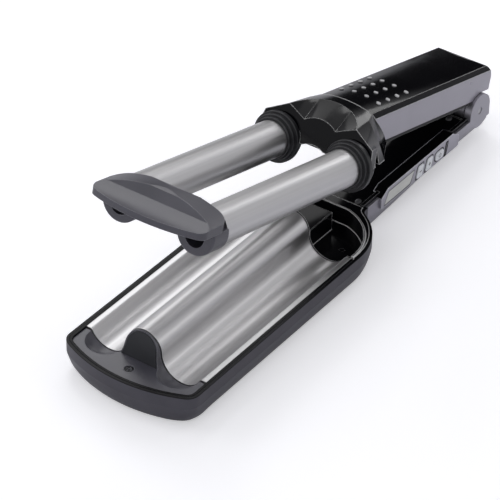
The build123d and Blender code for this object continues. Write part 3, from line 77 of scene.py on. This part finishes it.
# ------------------------------------------------------------------ studio, in metres and watts
CAMERA_PLACE_MM = (-834.345, -602.451, 803.389)
CAMERA_AZIMUTH, CAMERA_ELEVATION, CAMERA_ROLL = -54.95, 36.42, 1.08
LENS_MM, SENSOR_MM = 187.2, 36
ROOM_COLOUR = (0.97, 0.97, 1.0, 1)
ROOM_LIGHT = 0.36
ROOM_IN_GLOSS = 0.64
CARD_DIRECTION = (0.90, 0.43, 0.11)
CARD_EDGE = (0.945, 0.978)
CARD_IN_GLOSS = 0.02
FLOOR_HALF = 6.0
FLOOR_DROP = 0.0002
FLOOR_COLOUR = (0.87, 0.87, 0.91, 1)
SWEEP_DISTANCE = (0.3, 1.6)
SWEEP_LIFT = (0.36, 0.74)
# name, place, what it points at, size, power
LIGHTS = (
    ("overhead_box", (0.05, 0.2, 1.25), (0.0, 0.0, 0.02), (0.9, 0.9), 1.8),
    ("left_key", (-0.35, 1.2, 0.75), (-0.05, 0, 0.03), (0.8, 0.6), 3),
    ("front_key", (-1.05, -0.25, 0.75), (0.0, 0, 0.03), (1.0, 0.8), 3.2),
    ("crown_box", (0.80, 0.63, 0.85), (0.0, 0, 0.03), (0.8, 0.7), 2.5),
    ("crest_box", (0.38, 0.43, 1.10), (0.08, 0, 0.06), (0.2, 0.25), 0.9),
    ("rear_box", (1.30, 0.07, 0.44), (0.08, 0, 0.05), (0.22, 0.3), 0.7),
    ("right_box", (0.5, -1.2, 0.5), (0.08, 0, 0.04), (0.9, 0.3), 1.2),
    ("window_strip", (0.80, -0.38, 0.93), (0.08, 0, 0.03), (0.05, 0.5), 0.4),
)

BLACK = (0.003, 0.003, 0.004)


# ------------------------------------------------------------------ camera, floor and light
def place_camera():
    azimuth, elevation, roll = radians(CAMERA_AZIMUTH), radians(CAMERA_ELEVATION), radians(CAMERA_ROLL)
    forward = Vector((-sin(azimuth) * cos(elevation), cos(azimuth) * cos(elevation), -sin(elevation)))
    level_right = Vector((cos(azimuth), sin(azimuth), 0))
    level_up = level_right.cross(forward)
    right = level_right * cos(roll) + level_up * sin(roll)
    up = level_up * cos(roll) - level_right * sin(roll)
    lens = bpy.data.cameras.new("studio_camera")
    lens.sensor_width = SENSOR_MM
    lens.lens = LENS_MM
    lens.clip_end = 20
    camera = bpy.data.objects.new("studio_camera", lens)
    turn = Matrix((right, up, -forward)).transposed().to_4x4()
    camera.matrix_world = Matrix.Translation(Vector(CAMERA_PLACE_MM) * MM) @ turn
    bpy.context.collection.objects.link(camera)
    bpy.context.scene.camera = camera
    bpy.context.scene.view_settings.view_transform = "Standard"


def softbox(name, place, aim, size, power):
    """A rectangular lamp that points at its aim."""
    data = bpy.data.lights.new(name, "AREA")
    data.shape = "RECTANGLE"
    data.size, data.size_y = size
    data.energy = power
    lamp = bpy.data.objects.new(name, data)
    lamp.location = place
    lamp.rotation_euler = (Vector(aim) - Vector(place)).to_track_quat("-Z", "Y").to_euler()
    bpy.context.collection.objects.link(lamp)


def set_range(node, taken, given):
    """Sets a Map Range node from the range that it takes to the one that it gives."""
    node.inputs["From Min"].default_value, node.inputs["From Max"].default_value = taken
    node.inputs["To Min"].default_value, node.inputs["To Max"].default_value = given


def studio_world():
    """White to the camera; for reflections an even pale room with one black card behind the tool."""
    world = bpy.data.worlds.new("studio_world")
    bpy.context.scene.world = world
    world.use_nodes = True
    nodes, links = world.node_tree.nodes, world.node_tree.links
    nodes.clear()
    path = nodes.new("ShaderNodeLightPath")
    place = nodes.new("ShaderNodeTexCoord")
    towards_card = nodes.new("ShaderNodeVectorMath")
    towards_card.operation = "DOT_PRODUCT"
    towards_card.inputs[1].default_value = Vector(CARD_DIRECTION).normalized()
    card = nodes.new("ShaderNodeMapRange")
    card.interpolation_type = "SMOOTHSTEP"
    set_range(card, CARD_EDGE, (ROOM_IN_GLOSS, CARD_IN_GLOSS))
    strength = nodes.new("ShaderNodeMix")
    strength.inputs["A"].default_value = ROOM_LIGHT
    room = nodes.new("ShaderNodeBackground")
    room.inputs["Color"].default_value = ROOM_COLOUR
    seen = nodes.new("ShaderNodeBackground")
    seen.inputs["Color"].default_value = (1, 1, 1, 1)
    mix = nodes.new("ShaderNodeMixShader")
    out = nodes.new("ShaderNodeOutputWorld")
    links.new(place.outputs["Generated"], towards_card.inputs[0])
    links.new(towards_card.outputs["Value"], card.inputs["Value"])
    links.new(path.outputs["Is Glossy Ray"], strength.inputs["Factor"])
    links.new(card.outputs[0], strength.inputs["B"])
    links.new(strength.outputs["Result"], room.inputs["Strength"])
    links.new(path.outputs["Is Camera Ray"], mix.inputs["Fac"])
    links.new(room.outputs[0], mix.inputs[1])
    links.new(seen.outputs[0], mix.inputs[2])
    links.new(mix.outputs[0], out.inputs["Surface"])


def pale_floor():
    """A white sweep that keeps the soft shadow."""
    mesh = bpy.data.meshes.new("floor")
    r = FLOOR_HALF
    mesh.from_pydata([(-r, -r, 0), (r, -r, 0), (r, r, 0), (-r, r, 0)], [], [(0, 1, 2, 3)])
    floor = bpy.data.objects.new("floor", mesh)
    bpy.context.collection.objects.link(floor)
    floor.location.z = -FLOOR_DROP
    mat = bpy.data.materials.new("floor_white")
    mat.use_nodes = True
    nodes, links = mat.node_tree.nodes, mat.node_tree.links
    shader = nodes["Principled BSDF"]
    shader.inputs["Base Color"].default_value = FLOOR_COLOUR
    shader.inputs["Roughness"].default_value = 0.7
    shader.inputs["Specular IOR Level"].default_value = 0.1
    shader.inputs["Emission Color"].default_value = (1, 1, 1, 1)
    path = nodes.new("ShaderNodeLightPath")
    place = nodes.new("ShaderNodeTexCoord")
    away = nodes.new("ShaderNodeVectorMath")
    away.operation = "LENGTH"
    sweep = nodes.new("ShaderNodeMapRange")
    set_range(sweep, SWEEP_DISTANCE, SWEEP_LIFT)
    lift = nodes.new("ShaderNodeMath")
    lift.operation = "MULTIPLY"
    links.new(place.outputs["Object"], away.inputs[0])
    links.new(away.outputs["Value"], sweep.inputs["Value"])
    links.new(path.outputs["Is Camera Ray"], lift.inputs[0])
    links.new(sweep.outputs[0], lift.inputs[1])
    links.new(lift.outputs[0], shader.inputs["Emission Strength"])
    mesh.materials.append(mat)


# ------------------------------------------------------------------ shared effects
def effect(name, inputs, outputs):
    """An empty node group with named inputs (name, kind, default) and outputs (name, kind)."""
    tree = bpy.data.node_groups.new(name, "ShaderNodeTree")
    for label, kind, default in inputs:
        socket = tree.interface.new_socket(name=label, in_out="INPUT", socket_type=kind)
        socket.default_value = default
    for label, kind in outputs:
        tree.interface.new_socket(name=label, in_out="OUTPUT", socket_type=kind)
    return tree, tree.nodes.new("NodeGroupInput"), tree.nodes.new("NodeGroupOutput")


def brushing_effect():
    """Fine streaks along X after the surface is turned by Turn about Y."""
    tree, inp, out = effect(
        "brushing",
        [
            ("Turn", "NodeSocketFloat", 0.0),
            ("Fineness", "NodeSocketFloat", 5000.0),
            ("Spacing", "NodeSocketFloat", 350.0),
        ],
        [("Streaks", "NodeSocketFloat"), ("Bands", "NodeSocketFloat")],
    )
    nodes, links = tree.nodes, tree.links
    place = nodes.new("ShaderNodeTexCoord")
    turn = nodes.new("ShaderNodeVectorRotate")
    turn.rotation_type = "Y_AXIS"
    links.new(place.outputs["Object"], turn.inputs["Vector"])
    links.new(inp.outputs["Turn"], turn.inputs["Angle"])
    for label, socket, along, detail in (("Streaks", "Fineness", 0.0004, 1), ("Bands", "Spacing", 0.0006, 2)):
        scale = nodes.new("ShaderNodeVectorMath")
        scale.operation = "MULTIPLY"
        scale.inputs[1].default_value = (along, 1, 1)
        noise = nodes.new("ShaderNodeTexNoise")
        noise.inputs["Detail"].default_value = detail
        links.new(turn.outputs[0], scale.inputs[0])
        links.new(scale.outputs[0], noise.inputs["Vector"])
        links.new(inp.outputs[socket], noise.inputs["Scale"])
        links.new(noise.outputs["Fac"], out.inputs[label])
    return tree


def grain_effect():
    """Fine even grain of moulded plastic, and slow patches of handling marks."""
    tree, inp, out = effect(
        "moulded_grain",
        [("Fineness", "NodeSocketFloat", 2500.0), ("Patch Size", "NodeSocketFloat", 60.0)],
        [("Grain", "NodeSocketFloat"), ("Patches", "NodeSocketFloat")],
    )
    nodes, links = tree.nodes, tree.links
    place = nodes.new("ShaderNodeTexCoord")
    for label, socket, detail in (("Grain", "Fineness", 2), ("Patches", "Patch Size", 4)):
        noise = nodes.new("ShaderNodeTexNoise")
        noise.inputs["Detail"].default_value = detail
        links.new(place.outputs["Object"], noise.inputs["Vector"])
        links.new(inp.outputs[socket], noise.inputs["Scale"])
        links.new(noise.outputs["Fac"], out.inputs[label])
    return tree


def edge_effect():
    """Rounds the look of sharp edges, and gives a mask of them that the finishes use for a painted highlight
    along the edges.
    """
    tree, inp, out = effect(
        "soft_edges",
        [("Radius", "NodeSocketFloat", 0.0004)],
        [("Normal", "NodeSocketVector"), ("Edge", "NodeSocketFloat")],
    )
    nodes, links = tree.nodes, tree.links
    bevel = nodes.new("ShaderNodeBevel")
    bevel.samples = 6
    face = nodes.new("ShaderNodeNewGeometry")
    match = nodes.new("ShaderNodeVectorMath")
    match.operation = "DOT_PRODUCT"
    edge = nodes.new("ShaderNodeMapRange")
    set_range(edge, (0.99, 0.80), (0, 1))
    links.new(inp.outputs["Radius"], bevel.inputs["Radius"])
    links.new(bevel.outputs[0], match.inputs[0])
    links.new(face.outputs["Normal"], match.inputs[1])
    links.new(match.outputs["Value"], edge.inputs["Value"])
    links.new(bevel.outputs[0], out.inputs["Normal"])
    links.new(edge.outputs[0], out.inputs["Edge"])
    return tree


BRUSHING = brushing_effect()
GRAIN = grain_effect()
EDGES = edge_effect()


# ------------------------------------------------------------------ finishes
def finish(name, colour, roughness, edge=0.0004, **sockets):
    """A finish whose sharp edges catch the light, with constants on the shader's own sockets."""
    mat = bpy.data.materials.new(name)
    mat.use_nodes = True
    shader = mat.node_tree.nodes["Principled BSDF"]
    shader.inputs["Base Color"].default_value = (*colour, 1)
    shader.inputs["Roughness"].default_value = roughness
    for label, value in sockets.items():
        shader.inputs[label.replace("_", " ").title().replace("Ior", "IOR")].default_value = value
    edges = placed(mat, EDGES, radius=edge)
    edges.name = "edges"
    mat.node_tree.links.new(edges.outputs["Normal"], shader.inputs["Normal"])
    return mat


def placed(mat, group, **values):
    """Places a shared effect in a material with values of its own."""
    node = mat.node_tree.nodes.new("ShaderNodeGroup")
    node.node_tree = group
    for label, value in values.items():
        node.inputs[label.replace("_", " ").title()].default_value = value
    return node


def spread(mat, source, low, high, target, start=0.3, end=0.7):
    """Feeds a mask into one of the shader's sockets, from low to high."""
    tree = mat.node_tree
    ramp = tree.nodes.new("ShaderNodeMapRange")
    set_range(ramp, (start, end), (low, high))
    tree.links.new(source, ramp.inputs["Value"])
    tree.links.new(ramp.outputs[0], tree.nodes["Principled BSDF"].inputs[target])


def tint(mat, source, first, second, start=0.3, end=0.7):
    """Feeds a mask into the base colour, from the first to the second."""
    tree = mat.node_tree
    ramp = tree.nodes.new("ShaderNodeValToRGB")
    ramp.color_ramp.elements[0].position = start
    ramp.color_ramp.elements[0].color = (*first, 1)
    ramp.color_ramp.elements[1].position = end
    ramp.color_ramp.elements[1].color = (*second, 1)
    tree.links.new(source, ramp.inputs["Fac"])
    tree.links.new(ramp.outputs["Color"], tree.nodes["Principled BSDF"].inputs["Base Color"])


def relief(mat, source, height_mm, strength):
    """Feeds a mask into the height of the surface, over the rounded edges."""
    tree = mat.node_tree
    bump = tree.nodes.new("ShaderNodeBump")
    bump.inputs["Strength"].default_value = strength
    bump.inputs["Distance"].default_value = height_mm * MM
    tree.links.new(source, bump.inputs["Height"])
    tree.links.new(tree.nodes["edges"].outputs["Normal"], bump.inputs["Normal"])
    tree.links.new(bump.outputs[0], tree.nodes["Principled BSDF"].inputs["Normal"])


def brushed_titanium(name, turn):
    """Satin metal with lengthwise streaks; the turn brings them in line with the arm."""
    mat = finish(name, (0.5, 0.5, 0.5), 0.3, metallic=1.0)
    streaks = placed(mat, BRUSHING, turn=turn, fineness=1500)
    tint(mat, streaks.outputs["Bands"], (0.51, 0.505, 0.51), (0.60, 0.595, 0.60))
    spread(mat, streaks.outputs["Streaks"], 0.32, 0.43, "Roughness")
    relief(mat, streaks.outputs["Streaks"], 0.003, 0.1)
    return mat


def moulded(name, colour, roughness, fineness=2500, height=0.02, lift=1.25, **sockets):
    """Plastic or paint with a fine grain and slow patches that are lighter by lift."""
    mat = finish(name, colour, roughness, **sockets)
    grain = placed(mat, GRAIN, fineness=fineness)
    tint(mat, grain.outputs["Patches"], colour, tuple(c * lift for c in colour))
    spread(mat, grain.outputs["Patches"], roughness * 0.9, roughness * 1.15, "Roughness")
    relief(mat, grain.outputs["Grain"], height, 0.3)
    return mat


def over_height(mat, height):
    """A mask of the part of the piece that lies over a height in mm."""
    tree = mat.node_tree
    place = tree.nodes.new("ShaderNodeTexCoord")
    parts = tree.nodes.new("ShaderNodeSeparateXYZ")
    over = tree.nodes.new("ShaderNodeMapRange")
    set_range(over, ((height - 0.1) * MM, (height + 0.1) * MM), (0, 1))
    tree.links.new(place.outputs["Object"], parts.inputs[0])
    tree.links.new(parts.outputs["Z"], over.inputs["Value"])
    return over.outputs[0]


def facing_up(mat):
    """A mask of the faces that look upwards."""
    tree = mat.node_tree
    face = tree.nodes.new("ShaderNodeNewGeometry")
    parts = tree.nodes.new("ShaderNodeSeparateXYZ")
    upward = tree.nodes.new("ShaderNodeMapRange")
    set_range(upward, (0.3, 0.5), (0, 1))
    tree.links.new(face.outputs["Normal"], parts.inputs[0])
    tree.links.new(parts.outputs["Z"], upward.inputs["Value"])
    return upward.outputs[0]


def laid_over(mat, mask, colour, strength=1.0):
    """Lays a colour over the one that is there, where the mask is 1."""
    tree = mat.node_tree
    base = tree.nodes["Principled BSDF"].inputs["Base Color"]
    share = tree.nodes.new("ShaderNodeMath")
    share.operation = "MULTIPLY"
    share.inputs[1].default_value = strength
    mix = tree.nodes.new("ShaderNodeMix")
    mix.data_type = "RGBA"
    mix.inputs[7].default_value = (*colour, 1)
    tree.links.new(mask, share.inputs[0])
    tree.links.new(share.outputs[0], mix.inputs[0])
    tree.links.new(base.links[0].from_socket, mix.inputs[6])
    tree.links.new(mix.outputs[2], base)


def painted_edge_highlight(mat, colour, strength=1.0):
    """Lightens the edges with a colour: a painted highlight along them."""
    laid_over(mat, mat.node_tree.nodes["edges"].outputs["Edge"], colour, strength)


def polished_black(name, edge_shine, edge=0.0004, shine=0.18):
    """Black gloss whose ridges show as thin pale lines: a painted highlight along the edges, as light as
    edge_shine.
    """
    mat = finish(name, BLACK, 0.1, edge=edge, specular_ior_level=shine)
    tint(mat, mat.node_tree.nodes["edges"].outputs["Edge"], BLACK, (edge_shine,) * 3, 0.1, 0.9)
    grain = placed(mat, GRAIN, patch_size=35)
    spread(mat, grain.outputs["Patches"], 0.08, 0.15, "Roughness")
    return mat


titanium_plate = brushed_titanium("titanium_plate", 0.0)
titanium_barrel = brushed_titanium("titanium_barrel", radians(-JAW_OPEN))
# The jaw shell's paint: partly its own dark grey, partly painted shade, much darker than the grip's paint,
# for the nose and the shadowed right side.
shell_paint_and_shade = moulded(
    "shell_paint_and_shade", (0.072, 0.070, 0.083), 0.32,
    metallic=0.3, specular_ior_level=0.2, fineness=4000, height=0.01,
)
# Painted highlight along the shell's edges, for the pale line at its rim.
painted_edge_highlight(shell_paint_and_shade, (0.16, 0.16, 0.18))
# Black over the top of the rim: painted dark reflection of the glossy rim, widening the black line round the
# frame.
laid_over(shell_paint_and_shade, over_height(shell_paint_and_shade, RIM_TOP - RIM_BAND), BLACK)
grip_paint = moulded(
    "grip_paint", (0.36, 0.35, 0.39), 0.3,
    metallic=0.8, fineness=4000, height=0.01, lift=1.1,
)
panel_paint = moulded(
    "panel_paint", (0.44, 0.43, 0.48), 0.3,
    metallic=0.7, fineness=4000, height=0.01, lift=1.1, edge=0.0007,
)
laid_over(panel_paint, facing_up(panel_paint), BLACK)
# Painted highlight along the panel's edges, for its pale top edge line.
painted_edge_highlight(panel_paint, (0.85, 0.85, 0.90))
charcoal = moulded("charcoal_plastic", (0.050, 0.049, 0.063), 0.33, specular_ior_level=0.65, edge=0.0006)
# Painted highlight along the edges of the charcoal parts, for their pale rim lines.
painted_edge_highlight(charcoal, (0.22, 0.22, 0.25), 0.9)
screw_black = moulded("screw_black", (0.006, 0.006, 0.008), 0.3, specular_ior_level=0.15)
# Painted highlight round the screw's edges.
painted_edge_highlight(screw_black, (0.45, 0.45, 0.50))
collar_black = moulded("collar_black", (0.012, 0.012, 0.014), 0.3, specular_ior_level=0.4)
black_band = moulded("black_band", BLACK, 0.2, specular_ior_level=0.1, edge=0.0007)
# The second number of each black gloss below is the lightness of its painted edge highlight.
gloss = polished_black("polished_black", 0.35, shine=0.12)
top_gloss = polished_black("top_panel_black", 0.90, 0.0007, shine=0.12)
ridged_gloss = polished_black("ridged_black", 0.80, 0.0008, shine=0.2)
cup_gloss = polished_black("cup_black", 1.0, 0.0011, shine=0.12)
pad = moulded("pad_silicone", (0.022, 0.023, 0.027), 0.45, height=0.03, specular_ior_level=0.35)
stud_dot = moulded("stud_dot", (0.42, 0.42, 0.43), 0.4)
button_cap = moulded("button_cap", (0.80, 0.82, 0.85), 0.35, lift=1.05)
display_window = moulded("display_window", (0.62, 0.63, 0.60), 0.2, lift=1.1, height=0.005)
mark_ink = moulded("mark_ink", (0.06, 0.06, 0.065), 0.5, lift=1.1)
stop_rubber = moulded("stop_rubber", (0.05, 0.05, 0.055), 0.3, lift=1.1)
plain_steel = moulded("plain_steel", (0.5, 0.5, 0.51), 0.3, metallic=1.0, lift=1.1)
inner_plastic = moulded("inner_plastic", (0.06, 0.06, 0.06), 0.5)
ceramic = moulded("white_ceramic", (0.6, 0.58, 0.54), 0.6, lift=1.1)
green_board = moulded("green_board", (0.02, 0.12, 0.05), 0.4)
mica = moulded("mica_sheet", (0.4, 0.36, 0.26), 0.5)

DRESS = {
    "lower_shell": shell_paint_and_shade,
    "handle_shell": grip_paint,
    "rim_frame": black_band,
    "wave_plate": titanium_plate,
    "front_end_cap": charcoal,
    "dome_pad": pad,
    "end_cap_screw": screw_black,
    "rear_cup": cup_gloss,
    "lower_inner_cover": gloss,
    "control_panel": panel_paint,
    "lcd_window": display_window,
    "lcd_module": inner_plastic,
    "control_board": green_board,
    "button_switches": inner_plastic,
    "minus_button": button_cap,
    "plus_button": button_cap,
    "power_button": button_cap,
    "plate_heater": ceramic,
    "heater_carrier": inner_plastic,
    "heat_shield": mica,
    "thermistor": ceramic,
    "thermal_fuse": plain_steel,
    "power_board": green_board,
    "housing_screws": plain_steel,
    "hinge_pin": plain_steel,
    "hinge_washers": inner_plastic,
    "hinge_spring": plain_steel,
    "cord_swivel": black_band,
    "upper_side_shell": grip_paint,
    "upper_top_panel": top_gloss,
    "grip_studs": stud_dot,
    "upper_inner_cover": gloss,
    "head": ridged_gloss,
    "head_skirt": ridged_gloss,
    "tip_bar": charcoal,
    "barrel_left": titanium_barrel,
    "barrel_right": titanium_barrel,
    "collar_left": collar_black,
    "collar_right": collar_black,
    "heater_core_left": ceramic,
    "heater_core_right": ceramic,
    "end_cup_left": charcoal,
    "end_cup_right": charcoal,
}


def dress(node, mat):
    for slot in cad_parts[node].material_slots:
        slot.material = mat


# ------------------------------------------------------------------ pieces
def piece(name, bm, mat, body, smooth=False):
    """Turns a bmesh into a piece that rides on a body."""
    mesh = bpy.data.meshes.new(name)
    bmesh.ops.recalc_face_normals(bm, faces=bm.faces)
    bm.to_mesh(mesh)
    bm.free()
    for face in mesh.polygons:
        face.use_smooth = smooth
    mesh.materials.append(mat)
    thing = bpy.data.objects.new(name, mesh)
    bpy.context.collection.objects.link(thing)
    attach(thing, body)


def flat_sheet(bm, outline, x, z, y, thickness=SHEET_THICKNESS):
    """A flat sheet on a face towards -Y, for the printed signs and for the painted shadow at the back of the
    slot; the outline is (x, z) pairs in mm round its middle.
    """
    near = [bm.verts.new(Vector((x + u, y - thickness, z + v)) * MM) for u, v in outline]
    far = [bm.verts.new(Vector((x + u, y, z + v)) * MM) for u, v in outline]
    bm.faces.new(near)
    for i in range(len(outline)):
        j = (i + 1) % len(outline)
        bm.faces.new((near[i], near[j], far[j], far[i]))


def flat_band(bm, outer, inner, x, z, y, thickness=BAND_THICKNESS):
    """A flat band between two outlines with equally many points, for the painted shade round the keys and the
    slot and the printed border round the window.
    """
    near, foot = [
        [[bm.verts.new(Vector((x + u, face, z + v)) * MM) for u, v in loop] for loop in (outer, inner)]
        for face in (y - thickness, y)
    ]
    for i in range(len(outer)):
        j = (i + 1) % len(outer)
        bm.faces.new((near[0][i], near[0][j], near[1][j], near[1][i]))
        bm.faces.new((near[0][i], near[0][j], foot[0][j], foot[0][i]))
        bm.faces.new((near[1][i], near[1][j], foot[1][j], foot[1][i]))


def leaning(length, height, lean, corner, grow=0.0):
    """Outline of a rounded parallelogram that leans towards +X, grown all round."""
    long, high, reach = length / 2 + grow, height / 2 + grow, corner + grow
    corners = [
        Vector((-long - lean / 2, -high)),
        Vector((long - lean / 2, -high)),
        Vector((long + lean / 2, high)),
        Vector((-long + lean / 2, high)),
    ]
    outline = []
    for i, at in enumerate(corners):
        start = at + (corners[i - 1] - at).normalized() * reach
        end = at + (corners[(i + 1) % 4] - at).normalized() * reach
        for step in range(7):
            t = step / 6
            outline.append(start * (1 - t) ** 2 + at * 2 * t * (1 - t) + end * t ** 2)
    return outline


def arc(radius, start, end, steps):
    """Points on a circle from one angle to another, in degrees."""
    angles = [radians(start + (end - start) * i / steps) for i in range(steps + 1)]
    return [(radius * cos(angle), radius * sin(angle)) for angle in angles]


def bar(length, height):
    """Outline of a plain rectangle."""
    u, v = length / 2, height / 2
    return [(-u, -v), (u, -v), (u, v), (-u, v)]


def button_marks():
    """The printed minus, plus and power signs."""
    length, width = STROKE
    bm = bmesh.new()
    flat_sheet(bm, bar(length, width), KEYS["minus"], KEY_ROW, KEY_FACE)
    piece("minus_mark", bm, mark_ink, "minus_key")
    bm = bmesh.new()
    flat_sheet(bm, bar(length, width), KEYS["plus"], KEY_ROW, KEY_FACE)
    flat_sheet(bm, bar(width, length), KEYS["plus"], KEY_ROW, KEY_FACE, OVERPRINT)
    piece("plus_mark", bm, mark_ink, "plus_key")
    bm = bmesh.new()
    flat_sheet(bm, arc(1.25, 125, 415, 28) + arc(0.9, 415, 125, 28), KEYS["power"], KEY_ROW - 0.1, KEY_FACE)
    flat_sheet(bm, bar(0.36, 1.3), KEYS["power"], KEY_ROW + 0.85, KEY_FACE, OVERPRINT)
    piece("power_mark", bm, mark_ink, "power_key")


def outline_band(bm, shape, place, outer, inner):
    """A flat dark band along a shape's outline, from inner to outer mm beyond it."""
    flat_band(bm, leaning(*shape, outer), leaning(*shape, inner), *place, PANEL_FACE)


def panel_surrounds():
    """Painted shade in the gaps round the keys and the slot, and painted shadow on a dark sheet at the slot's
    back; then a printed border round the window.
    """
    bm = bmesh.new()
    # Dark bands round the keys and the slot: painted shade in their gaps.
    outline_band(bm, ROCKER_KEY, (KEYS["minus"], KEY_ROW), *ROCKER_BAND)
    outline_band(bm, ROCKER_KEY, (KEYS["plus"], KEY_ROW), *ROCKER_BAND)
    outline_band(bm, POWER_KEY, (KEYS["power"], KEY_ROW), *POWER_BAND)
    outline_band(bm, SLOT, SLOT_PLACE, *SLOT_BAND)
    # Dark sheet at the back of the slot: painted shadow in the recess.
    flat_sheet(bm, leaning(*SLOT_BACK), *SLOT_PLACE, PANEL_FACE + SLOT_DEPTH)
    piece("key_gap_shade", bm, black_band, "lower_arm")
    bm = bmesh.new()
    outline_band(bm, WINDOW, WINDOW_PLACE, *WINDOW_BAND)
    piece("window_surround", bm, mark_ink, "lower_arm")


def cover_stops():
    """Soft stops on the inner cover that keep the handles from clacking together."""
    for name, x, y in STOPS:
        bm = bmesh.new()
        rings = [
            [
                bm.verts.new(Vector((x + STOP_STRETCH * u, y + v, COVER_TOP + height)) * MM)
                for u, v in arc(radius, 0, 360 - 360 / STOP_SIDES, STOP_SIDES - 1)
            ]
            for height, radius in STOP_STEPS
        ]
        for low, high in zip(rings, rings[1:]):
            for i in range(STOP_SIDES):
                j = (i + 1) % STOP_SIDES
                bm.faces.new((low[i], low[j], high[j], high[i]))
        bm.faces.new(rings[-1])
        piece(name, bm, stop_rubber, "lower_arm", smooth=True)


# ------------------------------------------------------------------ the whole scene
place_camera()
studio_world()
pale_floor()
for light in LIGHTS:
    softbox(*light)
for node, mat in DRESS.items():
    dress(node, mat)
button_marks()
panel_surrounds()
cover_stops()
